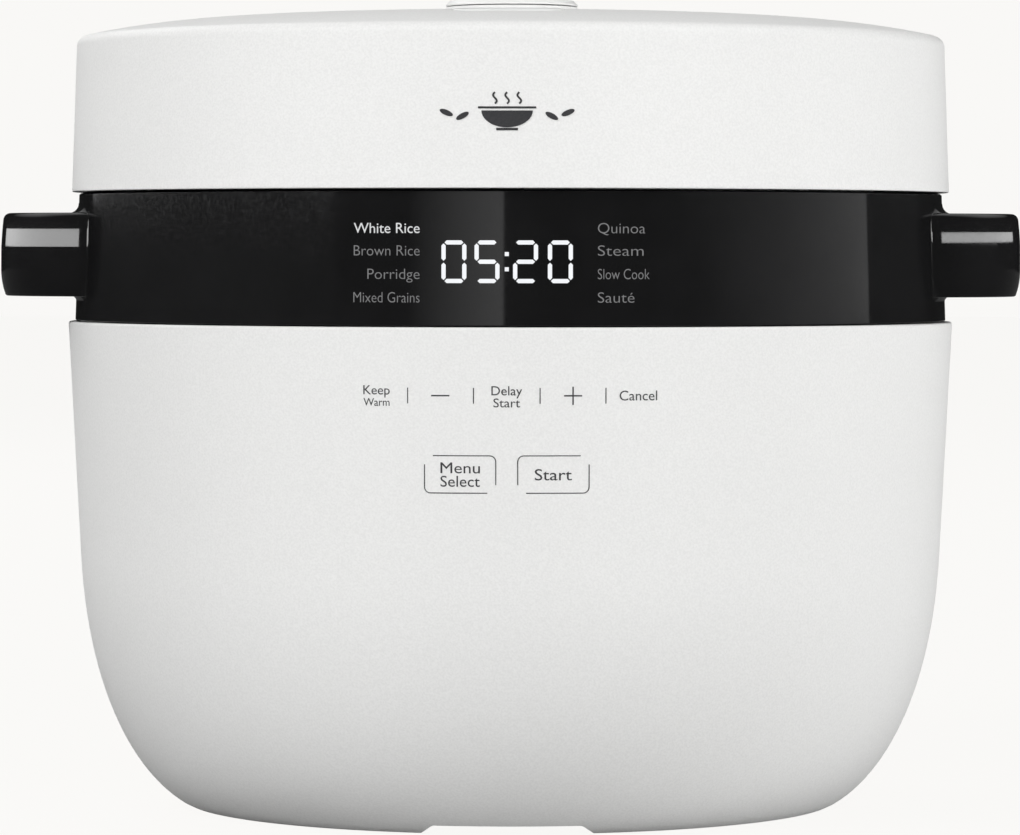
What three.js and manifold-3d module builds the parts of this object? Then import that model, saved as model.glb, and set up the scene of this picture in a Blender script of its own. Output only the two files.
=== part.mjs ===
// A round electric rice cooker with a hinged lid, drawn in millimetres, +Z up, front towards -Y.
// The pot's axis stands at (0, -AXIS_SHIFT), so that the origin is under the middle of the whole object.
import * as THREE from "three";
import { mergeVertices } from "three/addons/utils/BufferGeometryUtils.js";
import Module from "manifold-3d";

const wasm = await Module();
wasm.setup();

// ---------------------------------------------------------------- driving dimensions
const FRONT_REACH = 141.7; // axis to the front of the shell
const REAR_REACH = 157.7; // axis to the back of the hinge housing
const AXIS_SHIFT = (REAR_REACH - FRONT_REACH) / 2;
const GAP = 0.3; // between fixed neighbours
const FINE = 36; // sides of the large turned pieces
const COARSE = 12; // sides of the small round pieces

// Outer shell: a straight taper, then one curve in to the rim it stands on.
const SHELL = { topR: FRONT_REACH, topZ: 154.9, bendR: 137.8, bendZ: 80, rimR: 104, rimZ: 0.6 };
const SHELL_WALL = 2.6;
const SHELL_CURVE = { down: 44.3, out: 18.2, angle: 0.48 }; // tangent lengths and the slope at the rim
const RIM_NOTCH = { width: 45.5, height: 2.5, slope: 3.75 };
const COVER = { radius: 95.6, bottomZ: 3, thickness: 2.2 };
const FOOT = { radius: 9, ring: 84, angles: [30, 150, 210, 330] };
const SCREW_POST = { radius: 5.5, ring: 88, bottomZ: 5.6, topZ: 20, angles: [45, 135, 225, 315] };

// Collar: the black band, with the deck that the pot hangs in.
const BAND = { bottomR: 139.5, bottomZ: 155.3, topR: 138.2, topZ: 195.7, innerR: 134.3, deck: 2.6 };
const POT_SEAT = { innerR: 115.2, outerR: 122, topZ: 189.6, thickness: 2.6 };
const LENS = { thickness: 2, recess: 2.3, halfAngle: 71.8, recessHalfAngle: 72 };
const DIGIT_CENTRES = [-15.7, -5.9, 5.7, 15.7];
const DISPLAY_WINDOW = { width: 104, bottomZ: 160, topZ: 190 };

// Handles: ears with a finger pocket that opens downwards.
const HANDLE = { reach: 163.8, bottomZ: 162.9, topZ: 189.5, rootAngle: 17.3 };
const HANDLE_WALL = { outer: 3.2, roof: 3.8, inner: 2.4 };

// Pot and heater.
const POT = { radius: 114, wall: 2, bottomZ: 54, rimR: 120.5, rimZ: 192, cornerR: 24, rimT: 2 };
const SHIELD = { innerR: 117.5, sheet: 1, bottomZ: 38, topZ: 164.5, cornerR: 20, holeR: 16 };
const PLATE = { radius: 84, bottomZ: 47, topZ: 53.6, holeR: 13 };
const SENSOR = { radius: 11.5, bottomZ: 30, topZ: 53.7, wall: 1.2 };

// Lid: a tapered skirt, a small shoulder radius and a nearly flat dome.
const LID = { bottomR: 140.7, bottomZ: 196.1, topR: 138.9, wallTopZ: 242.4, shoulderR: 3.4, rise: 6.3 };
const LID_WALL = 2.6;
const LID_APEX = LID.wallTopZ + LID.shoulderR + LID.rise;
const LINER = { radius: 137.3, bottomZ: 197, sheet: 2, hubR: 119, hubTopZ: 208 };
const HINGE = { y: 148, z: 192, pinR: 2.5, knuckleR: 6.5, knuckleHalf: 36.4, earInner: 37.2, earOuter: 46 };
const LATCH = { y: -129.9, z: 214, pinR: 1.5, hubR: 4.5, halfWidth: 4.2, hookZ: 188.5, armEndY: -98 };
const BUTTON = { y: -103, length: 34, width: 14, proud: 0.4, bottomZ: 242, stemR: 3, stemZ: 216.3 };
const VENT = { y: 48, capR: 21.8, holeR: 19.6, wellR: 19.2, chamberR: 17.2, bottomZ: 214, topZ: 260.5 };
const VENT_WALL = 1.4;
const CUP = { halfWidth: 38, bottomZ: 158.4, topZ: 181, backY: 157, wall: 2 };
const INLET = { halfWidth: 20, bottomZ: 82, topZ: 114, innerY: 120.6, faceY: 141.6, depth: 17.6, lip: 3.4 };

// ---------------------------------------------------------------- finishes
const finish = (color, roughness, metalness = 0) =>
  new THREE.MeshStandardMaterial({ color, roughness, metalness });
const WHITE_SHELL = finish(0xeeeeec, 0.55);
const BLACK_GLOSS = finish(0x141415, 0.12);
const BLACK_MATTE = finish(0x1c1c1d, 0.6);
const DARK_LINER = finish(0x2b2c2e, 0.5);
const NON_STICK = finish(0x2a2a2c, 0.35, 0.3);
const ALUMINIUM = finish(0xc3c5c8, 0.35, 1);
const STEEL = finish(0xb4b7bb, 0.3, 1);
const SILICONE = finish(0xd8d8d4, 0.7);
const RUBBER = finish(0x2a2a2a, 0.85);
const CIRCUIT = finish(0x1f5a3a, 0.6);
const CLEAR_CUP = finish(0x9fa4a8, 0.25);
const GUIDE_WHITE = finish(0xf4f4f2, 0.5);
const BRASS = finish(0xc8a95a, 0.3, 1);
const CERAMIC = finish(0xe8e2d4, 0.8);

// ---------------------------------------------------------------- shape tools
const radians = (degrees) => (degrees * Math.PI) / 180;

function solid(geometry) {
  const bare = geometry.clone();
  bare.deleteAttribute("normal");
  bare.deleteAttribute("uv");
  const merged = mergeVertices(bare, 1e-4);
  const vertProperties = merged.attributes.position.array;
  const triVerts = new Uint32Array(merged.index.array);
  return new wasm.Manifold(new wasm.Mesh({ numProp: 3, vertProperties, triVerts }));
}

function geometryOf(shape) {
  const mesh = shape.getMesh();
  return new THREE.BufferGeometry()
    .setAttribute("position", new THREE.BufferAttribute(mesh.vertProperties, mesh.numProp))
    .setIndex(new THREE.BufferAttribute(mesh.triVerts, 1));
}

function piece(name, shape, material) {
  const geometry = shape.isBufferGeometry ? shape : geometryOf(shape);
  const mesh = new THREE.Mesh(geometry, material);
  mesh.name = name;
  return mesh;
}

const union = (...shapes) => shapes.reduce((whole, next) => whole.add(next));
const cut = (from, ...tools) => tools.reduce((left, tool) => left.subtract(tool), from);

// A solid turned about +Z from points (radius, height), listed upwards on the outside.
function turned(points, sides = FINE) {
  const outline = points.map(([r, z]) => new THREE.Vector2(r, z));
  return solid(new THREE.LatheGeometry(outline, sides).rotateX(Math.PI / 2));
}

// The same for a ring, whose outline closes on itself.
const turnedRing = (points, sides = FINE) => turned([...points, points[0]], sides);

function disc(radius, bottomZ, topZ, sides = COARSE) {
  return turned([[0, bottomZ], [radius, bottomZ], [radius, topZ], [0, topZ]], sides);
}

function ring(innerR, outerR, bottomZ, topZ, sides = COARSE) {
  return turnedRing([[innerR, bottomZ], [outerR, bottomZ], [outerR, topZ], [innerR, topZ]], sides);
}

// A box given by its limits along X, Y and Z.
function block([x0, x1], [y0, y1], [z0, z1]) {
  const box = new THREE.BoxGeometry(x1 - x0, y1 - y0, z1 - z0);
  return solid(box.translate((x0 + x1) / 2, (y0 + y1) / 2, (z0 + z1) / 2));
}

// A round bar along X at (y, z).
function crossBar(radius, x0, x1, y, z, sides = 16) {
  const bar = new THREE.CylinderGeometry(radius, radius, x1 - x0, sides);
  return solid(bar.rotateZ(Math.PI / 2).translate((x0 + x1) / 2, y, z));
}

// An outline in the XY plane carried from bottomZ to topZ.
function prism(shape, bottomZ, topZ, curveSegments = 12) {
  const depth = topZ - bottomZ;
  const body = new THREE.ExtrudeGeometry(shape, { depth, bevelEnabled: false, curveSegments });
  return solid(body.translate(0, 0, bottomZ));
}

// An outline of (y, z) points carried from x0 to x1.
function sidePrism(points, x0, x1) {
  const shape = new THREE.Shape(points.map(([y, z]) => new THREE.Vector2(y, z)));
  const body = new THREE.ExtrudeGeometry(shape, { depth: x1 - x0, bevelEnabled: false });
  const toYZ = new THREE.Matrix4().set(0, 0, 1, x0, 1, 0, 0, 0, 0, 1, 0, 0, 0, 0, 0, 1);
  return solid(body.applyMatrix4(toYZ));
}

function pill(length, width) {
  const half = (length - width) / 2;
  const shape = new THREE.Shape();
  shape.absarc(half, 0, width / 2, -Math.PI / 2, Math.PI / 2);
  shape.absarc(-half, 0, width / 2, Math.PI / 2, (3 * Math.PI) / 2);
  return shape;
}

// A round section swept along a curve.
function swept(curve, radius, steps, sides = 6) {
  const section = new THREE.Shape();
  for (let i = 0; i < sides; i++) {
    const turn = (2 * Math.PI * i) / sides;
    const corner = [radius * Math.cos(turn), radius * Math.sin(turn)];
    if (i === 0) section.moveTo(...corner);
    else section.lineTo(...corner);
  }
  return solid(new THREE.ExtrudeGeometry(section, { steps, extrudePath: curve, bevelEnabled: false }));
}

class Helix extends THREE.Curve {
  constructor(radius, bottomZ, topZ, turns) {
    super();
    Object.assign(this, { radius, bottomZ, topZ, turns });
  }
  getPoint(t, target = new THREE.Vector3()) {
    const turn = 2 * Math.PI * this.turns * t;
    const z = this.bottomZ + (this.topZ - this.bottomZ) * t;
    return target.set(this.radius * Math.cos(turn), this.radius * Math.sin(turn), z);
  }
}

function coil(radius, wireR, bottomZ, topZ, turns) {
  const path = new Helix(radius, bottomZ + wireR, topZ - wireR, turns);
  return swept(path, wireR, turns * 8, 4);
}

// The wedge of space within halfAngle of the front.
function frontWedge(halfAngle) {
  const reach = 400;
  const wedge = new THREE.Shape();
  wedge.moveTo(0, 0);
  wedge.absarc(0, 0, reach, radians(-90 - halfAngle), radians(-90 + halfAngle));
  wedge.lineTo(0, 0);
  return prism(wedge, 0, 300);
}

function atAngle(ringR, degrees) {
  return [ringR * Math.cos(radians(degrees)), ringR * Math.sin(radians(degrees))];
}

const placed = (shape, ringR, degrees) => shape.translate([...atAngle(ringR, degrees), 0]);

// ---------------------------------------------------------------- outer shell and underside
function shellOutline(inset, steps) {
  const fall = new THREE.Vector2(SHELL.bendR - SHELL.topR, SHELL.bendZ - SHELL.topZ).normalize();
  const bend = new THREE.Vector2(SHELL.bendR, SHELL.bendZ);
  const rim = new THREE.Vector2(SHELL.rimR, SHELL.rimZ);
  const out = new THREE.Vector2(Math.cos(SHELL_CURVE.angle), Math.sin(SHELL_CURVE.angle));
  const bowl = new THREE.CubicBezierCurve(
    rim,
    rim.clone().addScaledVector(out, SHELL_CURVE.out),
    bend.clone().addScaledVector(fall, SHELL_CURVE.down),
    bend,
  );
  const points = [];
  for (let i = 0; i <= steps; i++) {
    const here = bowl.getPoint(i / steps);
    const along = bowl.getTangent(i / steps);
    points.push([here.x - inset * along.y, here.y + inset * along.x]);
  }
  points.push([SHELL.topR - inset, SHELL.topZ]);
  return points;
}

// Everything within the shell's outside, grown by a clearance.
const shellVolume = (clearance) =>
  turned([[0, SHELL.rimZ], ...shellOutline(-clearance, 7), [0, SHELL.topZ]]);

function outerShell() {
  const outside = shellOutline(0, 7);
  const inside = shellOutline(SHELL_WALL, 4).filter(([, z]) => z > COVER.bottomZ + COVER.thickness + 1);
  const lip = COVER.radius + GAP;
  const floorZ = COVER.bottomZ + COVER.thickness + GAP;
  const wall = turnedRing([[lip, SHELL.rimZ], ...outside, ...inside.reverse(), [lip, floorZ]]);
  const whole = shellVolume(0);
  const posts = SCREW_POST.angles.map((degrees) => {
    const column = disc(SCREW_POST.radius, SCREW_POST.bottomZ, SCREW_POST.topZ);
    const post = placed(column, SCREW_POST.ring, degrees);
    const web = block([SCREW_POST.ring, 125], [-2, 2], [8, SCREW_POST.topZ]).rotate([0, 0, degrees]);
    const pilot = placed(disc(1.6, 0, SCREW_POST.topZ - 2, 8), SCREW_POST.ring, degrees);
    return cut(post.add(web), pilot);
  });
  const { width, height, slope } = RIM_NOTCH;
  const half = width / 2;
  const notchOutline = [
    [-half - slope, SHELL.rimZ - 1],
    [half + slope, SHELL.rimZ - 1],
    [half, SHELL.rimZ + height],
    [-half, SHELL.rimZ + height],
  ];
  const notch = sidePrism(notchOutline, 80, 120);
  const notches = [0, 90, 180, 270].map((degrees) => notch.rotate([0, 0, degrees]));
  const inletHole = block(
    [-INLET.halfWidth - GAP, INLET.halfWidth + GAP],
    [INLET.innerY, INLET.faceY + 5],
    [INLET.bottomZ - GAP, INLET.topZ + GAP],
  );
  return cut(wall.add(union(...posts).intersect(whole)), ...notches, inletHole);
}

function bottomCover() {
  const topZ = COVER.bottomZ + COVER.thickness;
  const plate = disc(COVER.radius, COVER.bottomZ, topZ, FINE);
  const stiffener = ring(70, 72, topZ - 0.5, topZ + 4, 24);
  const slots = [];
  for (let row = -2; row <= 2; row++) {
    const half = 24 - 3 * Math.abs(row);
    slots.push(block([-half, half], [9 * row - 1.5, 9 * row + 1.5], [0, 20]));
  }
  const holes = SCREW_POST.angles.map((degrees) => placed(disc(2, 0, 20, 10), SCREW_POST.ring, degrees));
  const pegCentres = [[-42, 34], [42, 34], [-42, 78], [42, 78]];
  const pegs = pegCentres.map(([x, y]) => disc(3, topZ - 0.5, 11.7, 8).translate([x, y, 0]));
  return cut(union(plate, stiffener, ...pegs), ...slots, ...holes);
}

function foot() {
  const { radius } = FOOT;
  const topZ = COVER.bottomZ - 0.1;
  return turned([[0, 0], [radius - 0.8, 0], [radius, 0.8], [radius, topZ], [0, topZ]], COARSE);
}

function coverScrew() {
  const head = disc(3.4, COVER.bottomZ - 1.4, COVER.bottomZ - 0.1, 12);
  const shank = disc(1.3, COVER.bottomZ - 0.2, 15, 8);
  const recess = union(block([-2, 2], [-0.5, 0.5], [1, 2.3]), block([-0.5, 0.5], [-2, 2], [1, 2.3]));
  return cut(head.add(shank), recess);
}

// ---------------------------------------------------------------- collar, display and handles
const bandRadius = (z) => THREE.MathUtils.mapLinear(z, BAND.bottomZ, BAND.topZ, BAND.bottomR, BAND.topR);

// A tapered ring parallel to the band's face, from inset to outset, over a height.
function bandRing(inset, outset, z0, z1) {
  return turnedRing([
    [bandRadius(z0) - inset, z0],
    [bandRadius(z0) + outset, z0],
    [bandRadius(z1) + outset, z1],
    [bandRadius(z1) - inset, z1],
  ]);
}

// The two limits of something that lies from near to far on one side of the middle, in rising order.
const sideLimits = (side, near, far) => (side > 0 ? [near, far] : [-far, -near]);

function rearHousing() {
  const { y, z, earInner, earOuter } = HINGE;
  const baseZ = BAND.bottomZ + 0.7;
  const roof = block([-earOuter, earOuter], [133, REAR_REACH], [CUP.topZ + 0.4, 190]);
  const cheek = (side) => block(sideLimits(side, earInner + 1.6, earOuter), [130, REAR_REACH], [baseZ, 188]);
  const rail = (side) => {
    const across = sideLimits(side, CUP.halfWidth - 3, earInner + 2);
    return block(across, [130, REAR_REACH], [baseZ, CUP.bottomZ - 0.3]);
  };
  const ear = (side) => {
    const [near, far] = sideLimits(side, earInner, earOuter);
    const root = sidePrism([[y - 7.5, 186], [y + 8, 186], [y + 7, z], [y - 7, z]], near, far);
    return root.add(crossBar(7.2, near, far, y, z, 20));
  };
  const sides = [-1, 1].flatMap((side) => [cheek(side), rail(side), ear(side)]);
  return cut(union(roof, ...sides), disc(BAND.innerR + 1, 100, 220, FINE));
}

function collar() {
  const body = turnedRing([
    [BAND.bottomR, BAND.bottomZ],
    [BAND.topR, BAND.topZ],
    [POT_SEAT.outerR + 3.5, BAND.topZ],
    [POT_SEAT.outerR, BAND.topZ - 3.5],
    [POT_SEAT.outerR, POT_SEAT.topZ],
    [POT_SEAT.innerR, POT_SEAT.topZ],
    [POT_SEAT.innerR, POT_SEAT.topZ - POT_SEAT.thickness],
    [POT_SEAT.outerR, POT_SEAT.topZ - POT_SEAT.thickness],
    [POT_SEAT.outerR, SHIELD.topZ + 0.5],
    [POT_SEAT.outerR + 2.4, SHIELD.topZ + 0.5],
    [POT_SEAT.outerR + 2.4, BAND.topZ - 4.6],
    [POT_SEAT.outerR + 4.4, BAND.topZ - BAND.deck],
    [BAND.innerR, BAND.topZ - BAND.deck],
    [BAND.innerR, 148],
    [138.4, 148],
    [138.4, BAND.bottomZ],
  ]);
  const lensBed = bandRing(LENS.recess, 5, 155, 196.5).intersect(frontWedge(LENS.recessHalfAngle));
  const half = DISPLAY_WINDOW.width / 2;
  const window = block([-half, half], [-140, -124.6], [DISPLAY_WINDOW.bottomZ, DISPLAY_WINDOW.topZ]);
  const catchSlot = block([-9, 9], [LATCH.y - 4, LATCH.y + 2.1], [185, 200]);
  const knuckleRoom = crossBar(HINGE.knuckleR + 0.9, -HINGE.earInner, HINGE.earInner, HINGE.y, HINGE.z, 24);
  const pinBore = crossBar(HINGE.pinR + 0.3, -50, 50, HINGE.y, HINGE.z, 16);
  const drain = disc(2.2, 180, 200, 10).translate([0, 143.5, 0]);
  const whole = union(body, rearHousing());
  return cut(whole, lensBed, window, catchSlot, knuckleRoom, pinBore, drain, ...handleScrewBores(1.9));
}

// The lens is one arc of the band's own surface.
function displayLens() {
  const whole = bandRing(LENS.thickness, 0, BAND.bottomZ + 0.2, BAND.topZ - 0.1);
  return whole.intersect(frontWedge(LENS.halfAngle));
}

function lightGuide() {
  const frame = block([-31, 31], [-132.1, -126.7], [163, 186.4]);
  const digits = DIGIT_CENTRES.map((x) => block([x - 4.4, x + 4.4], [-133, -128.4], [167, 181.6]));
  return cut(frame, ...digits);
}

const displayBoard = () => block([-50, 50], [-126.4, -124.8], [161.5, 187.4]);

function touchBoard() {
  const board = block([-46, 46], [-126.6, -125], [98, 146]);
  const keys = [-39, -19.5, 0, 19.5, 39].map((x) => [x, 134.7]).concat([[-13.8, 111.2], [13.8, 111.2]]);
  const pads = keys.map(([x, z]) => {
    const frontY = -Math.sqrt((SHELL.topR - SHELL_WALL - 3) ** 2 - (Math.abs(x) + 4) ** 2);
    const pad = new THREE.CylinderGeometry(4, 4, -126 - frontY, 10).translate(x, (frontY - 126) / 2, z);
    return solid(pad);
  });
  return union(board, ...pads);
}

// Ear handle in plan: a round arc that meets the band at the root angle.
function earOutline(inset) {
  const rootX = BAND.bottomR * Math.cos(radians(HANDLE.rootAngle));
  const rootY = BAND.bottomR * Math.sin(radians(HANDLE.rootAngle));
  const centre = (HANDLE.reach ** 2 - rootX ** 2 - rootY ** 2) / (2 * (HANDLE.reach - rootX));
  const radius = HANDLE.reach - centre - inset;
  const ear = new THREE.Shape();
  ear.absarc(centre, 0, radius, radians(-86), radians(86));
  ear.closePath();
  return ear;
}

function handle(side) {
  const ear = prism(earOutline(0), HANDLE.bottomZ, HANDLE.topZ, 16);
  const pocket = prism(earOutline(HANDLE_WALL.outer), HANDLE.bottomZ - 5, HANDLE.topZ - HANDLE_WALL.roof, 16);
  const behind = turned([[0, 150], [bandRadius(150) + GAP, 150], [bandRadius(200) + GAP, 200], [0, 200]]);
  const inner = turned([
    [0, 150],
    [bandRadius(150) + GAP + HANDLE_WALL.inner, 150],
    [bandRadius(200) + GAP + HANDLE_WALL.inner, 200],
    [0, 200],
  ]);
  const shape = cut(ear, behind, cut(pocket, inner), ...handleScrewBores(1.7));
  return side > 0 ? shape : shape.rotate([0, 0, 180]);
}

const HANDLE_SCREW = { angles: [-11, 11, 169, 191], z: 176, headR: 131.2, tipR: 141.4 };

// A round bar that lies along a radius of the band.
function radialBar(radius, innerR, outerR, degrees, z, sides = 10) {
  const bar = new THREE.CylinderGeometry(radius, radius, outerR - innerR, sides);
  bar.rotateZ(Math.PI / 2).translate((innerR + outerR) / 2, 0, z).rotateZ(radians(degrees));
  return solid(bar);
}

const handleScrewBores = (radius) =>
  HANDLE_SCREW.angles.map((degrees) => radialBar(radius, 130, 143.5, degrees, HANDLE_SCREW.z));

function handleScrew(degrees) {
  const head = radialBar(3, HANDLE_SCREW.headR, BAND.innerR - 0.9, degrees, HANDLE_SCREW.z);
  return head.add(radialBar(1.4, BAND.innerR - 1.5, HANDLE_SCREW.tipR, degrees, HANDLE_SCREW.z, 8));
}

// ---------------------------------------------------------------- pot, heater and electrics
// Points round a quarter turn, from straight down to straight out.
function roundCorner(centreR, centreZ, radius, steps) {
  const points = [];
  for (let i = 0; i <= steps; i++) {
    const turn = -Math.PI / 2 + (Math.PI / 2) * (i / steps);
    points.push([centreR + radius * Math.cos(turn), centreZ + radius * Math.sin(turn)]);
  }
  return points;
}

function innerPot() {
  const centreR = POT.radius - POT.cornerR;
  const centreZ = POT.bottomZ + POT.cornerR;
  const rimBottom = POT.rimZ - POT.rimT;
  return turned([
    [0, POT.bottomZ],
    ...roundCorner(centreR, centreZ, POT.cornerR, 3),
    [POT.radius, rimBottom],
    [POT.rimR, rimBottom],
    [POT.rimR, POT.rimZ],
    [POT.radius - POT.wall, POT.rimZ],
    ...roundCorner(centreR, centreZ, POT.cornerR - POT.wall, 3).reverse(),
    [0, POT.bottomZ + POT.wall],
  ]);
}

function heatShield() {
  const outerR = SHIELD.innerR + SHIELD.sheet;
  const centreR = SHIELD.innerR - SHIELD.cornerR;
  const centreZ = SHIELD.bottomZ + SHIELD.cornerR + SHIELD.sheet;
  return turnedRing([
    [SHIELD.holeR, SHIELD.bottomZ],
    ...roundCorner(centreR, centreZ, SHIELD.cornerR + SHIELD.sheet, 3),
    [outerR, SHIELD.topZ - SHIELD.sheet],
    [POT_SEAT.outerR + 2.4, SHIELD.topZ - SHIELD.sheet],
    [POT_SEAT.outerR + 2.4, SHIELD.topZ],
    [SHIELD.innerR, SHIELD.topZ],
    ...roundCorner(centreR, centreZ, SHIELD.cornerR, 3).reverse(),
    [SHIELD.holeR, SHIELD.bottomZ + SHIELD.sheet],
  ], 24);
}

function heatingPlate() {
  return turnedRing([
    [PLATE.holeR, PLATE.bottomZ],
    [PLATE.radius - 6, PLATE.bottomZ],
    [PLATE.radius, PLATE.bottomZ + 3],
    [PLATE.radius, PLATE.topZ - 1],
    [PLATE.radius - 2, PLATE.topZ],
    [PLATE.holeR, PLATE.topZ],
  ], 24);
}

const platePost = () => disc(5, SHIELD.bottomZ + 1.3, PLATE.bottomZ - 0.3, 10);

class HeaterLoop extends THREE.Curve {
  getPoint(t, target = new THREE.Vector3()) {
    const turn = radians(110 + 320 * t);
    return target.set(62 * Math.cos(turn), 62 * Math.sin(turn), 43.4);
  }
}

const heaterElement = () => swept(new HeaterLoop(), 3.3, 28, 6);

function sensorBracket() {
  const topZ = SHIELD.bottomZ - 0.3;
  const tubeR = SENSOR.radius + 0.7;
  return turned([
    [0, 20],
    [tubeR + 1.4, 20],
    [tubeR + 1.4, topZ - 1.4],
    [33, topZ - 1.4],
    [33, topZ],
    [tubeR, topZ],
    [tubeR, 21.2],
    [0, 21.2],
  ], COARSE);
}

function sensorCap() {
  return turned([
    [0, SENSOR.topZ - 1.4],
    [SENSOR.radius - SENSOR.wall, SENSOR.topZ - 1.4],
    [SENSOR.radius - SENSOR.wall, SENSOR.bottomZ],
    [SENSOR.radius, SENSOR.bottomZ],
    [SENSOR.radius, SENSOR.topZ - 0.8],
    [SENSOR.radius - 0.8, SENSOR.topZ],
    [0, SENSOR.topZ],
  ], COARSE);
}

function powerBoard() {
  const board = block([-50, 50], [28, 84], [12, 13.6]);
  const notches = [-1, 1].map((side) => block([side * 50 - 8, side * 50 + 8], [54, 90], [10, 20]));
  return cut(board, ...notches);
}

function transformer() {
  const core = block([-38, -10], [38, 64], [13.8, 30]);
  return core.add(block([-33, -15], [34, 68], [15, 28]));
}

const relay = () => block([8, 28], [40, 56], [13.8, 29]);

// Inlet socket: a shroud that the mains connector plugs into, with three blades.
const INLET_PINS = { live: [-7, 96], neutral: [7, 96], earth: [0, 100] };

function inletHousing() {
  const { halfWidth, bottomZ, topZ, innerY, faceY, lip } = INLET;
  const barrel = block([-halfWidth, halfWidth], [innerY, faceY], [bottomZ, topZ]);
  const plate = block([-halfWidth - lip, halfWidth + lip], [125, faceY], [bottomZ - lip, topZ + lip]);
  const body = barrel.add(plate.subtract(shellVolume(GAP)));
  const cavityBack = INLET.faceY - INLET.depth;
  const cavity = new THREE.Shape();
  const corners = [[-12.5, 89.5], [12.5, 89.5], [12.5, 102], [8, 106.5], [-8, 106.5], [-12.5, 102]];
  cavity.setFromPoints(corners.map(([x, z]) => new THREE.Vector2(x, z)));
  const plug = new THREE.ExtrudeGeometry(cavity, { depth: INLET.depth + 5, bevelEnabled: false });
  const room = solid(plug.rotateX(Math.PI / 2).translate(0, INLET.faceY + 5, 0));
  const slots = Object.values(INLET_PINS).map(([x, z]) =>
    block([x - 1.3, x + 1.3], [110, cavityBack + 1], [z - 2.3, z + 2.3]),
  );
  return cut(body, room, ...slots);
}

const inletPin = ([x, z]) => block([x - 1, x + 1], [INLET.innerY - 1, 136], [z - 2, z + 2]);

// ---------------------------------------------------------------- lid
const domeZ = (r) => LID_APEX - LID.rise * (r / (LID.topR - LID.shoulderR)) ** 4.8;

function lidOutline(raise, steps) {
  const points = [[LID.bottomR, LID.bottomZ], [LID.topR, LID.wallTopZ + raise]];
  const shoulderR = LID.topR - LID.shoulderR;
  for (const turn of [45]) {
    const r = shoulderR + LID.shoulderR * Math.cos(radians(turn));
    points.push([r, LID.wallTopZ + raise + LID.shoulderR * Math.sin(radians(turn))]);
  }
  for (let i = 0; i <= steps; i++) {
    const r = shoulderR * (1 - i / steps);
    points.push([r, domeZ(r) + raise]);
  }
  return points;
}

function lidInside() {
  const under = LID_WALL;
  const radii = [LID.topR - LID.shoulderR - 1, 108, 72, 0];
  return radii.map((r) => [r, domeZ(r) - under]);
}

function lidShell() {
  const shell = turned([
    [LID.bottomR - LID_WALL, LID.bottomZ],
    ...lidOutline(0, 5),
    ...lidInside().reverse(),
    [LID.topR - LID_WALL, LID.wallTopZ - 2],
    [LID.bottomR - LID_WALL, LID.bottomZ],
  ]);
  const ventHole = disc(VENT.holeR, 230, 270, 32).translate([0, VENT.y, 0]);
  const buttonOutline = pill(BUTTON.length + 0.7, BUTTON.width + 0.7);
  const buttonHole = prism(buttonOutline, 230, 270, 8).translate([0, BUTTON.y, 0]);
  const armGate = block([-HINGE.earInner, HINGE.earInner], [125, 150], [190, 202.4]);
  return cut(shell, ventHole, buttonHole, armGate);
}

function lidLiner() {
  const top = LINER.bottomZ + LINER.sheet;
  const dish = turned([
    [0, LINER.hubTopZ - LINER.sheet],
    [LINER.hubR - LINER.sheet, LINER.hubTopZ - LINER.sheet],
    [LINER.hubR - LINER.sheet, LINER.bottomZ],
    [LINER.radius, LINER.bottomZ],
    [LINER.radius, top + 4],
    [LINER.radius - LINER.sheet, top + 4],
    [LINER.radius - LINER.sheet, top],
    [LINER.hubR, top],
    [LINER.hubR, LINER.hubTopZ],
    [0, LINER.hubTopZ],
  ]);
  const across = [-HINGE.knuckleHalf, HINGE.knuckleHalf];
  const arm = block(across, [126, HINGE.y], [LINER.bottomZ, 201.6]);
  const clear = turned([[0, 190], [LINER.hubR - 1, 190], [LINER.hubR - 1, 220], [0, 220]]);
  const knuckle = crossBar(HINGE.knuckleR, ...across, HINGE.y, HINGE.z, 20);
  const knuckleNeck = block(across, [HINGE.y - 5, HINGE.y + 2], [HINGE.z + 2, 201.6]);
  const latchEar = (side) => {
    const { y, z } = LATCH;
    const outline = [[y - 6, top - 0.5], [y + 8, top - 0.5], [y + 4.5, z + 4.5], [y - 4.5, z + 4.5]];
    return sidePrism(outline, ...sideLimits(side, 8, 11));
  };
  const pinBore = crossBar(HINGE.pinR + 0.3, -50, 50, HINGE.y, HINGE.z, 16);
  const springRoom = crossBar(HINGE.knuckleR + 2, -9, 9, HINGE.y, HINGE.z, 20);
  const latchBore = crossBar(LATCH.pinR + 0.3, -15, 15, LATCH.y, LATCH.z, 12);
  const latchGate = block([-8, 8], [LATCH.y - 4.9, LATCH.y + 4.5], [190, 205]);
  const ventGate = disc(8.6, 200, 215, 16).translate([0, VENT.y, 0]);
  const whole = union(dish, cut(arm, clear), knuckle, knuckleNeck, latchEar(-1), latchEar(1));
  return cut(whole, pinBore, springRoom, latchBore, latchGate, ventGate);
}

function innerLid() {
  const plate = turnedRing([
    [8, 199.4],
    [104, 197.2],
    [110, 195.6],
    [111.6, 195.6],
    [111.6, 197],
    [105, 198.6],
    [8, 200.8],
  ]);
  const holeCentres = [[0, VENT.y], [-8, VENT.y], [8, VENT.y], [0, VENT.y - 8], [0, VENT.y + 8]];
  const steamHoles = holeCentres.map(([x, y]) => disc(2.2, 190, 210, 8).translate([x, y, 0]));
  return cut(plate, ...steamHoles);
}

function gasket() {
  return turnedRing([
    [112, 195.4],
    [113.4, 192.8],
    [116.6, 192.3],
    [118.4, 193.4],
    [118.4, 195.4],
    [116.4, 196.6],
    [116.4, 201],
    [112, 201],
  ]);
}

const lidSensor = () => turned([[0, 194], [6, 194], [6, 203], [7.6, 203], [7.6, 205.7], [0, 205.7]], 12);

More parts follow.
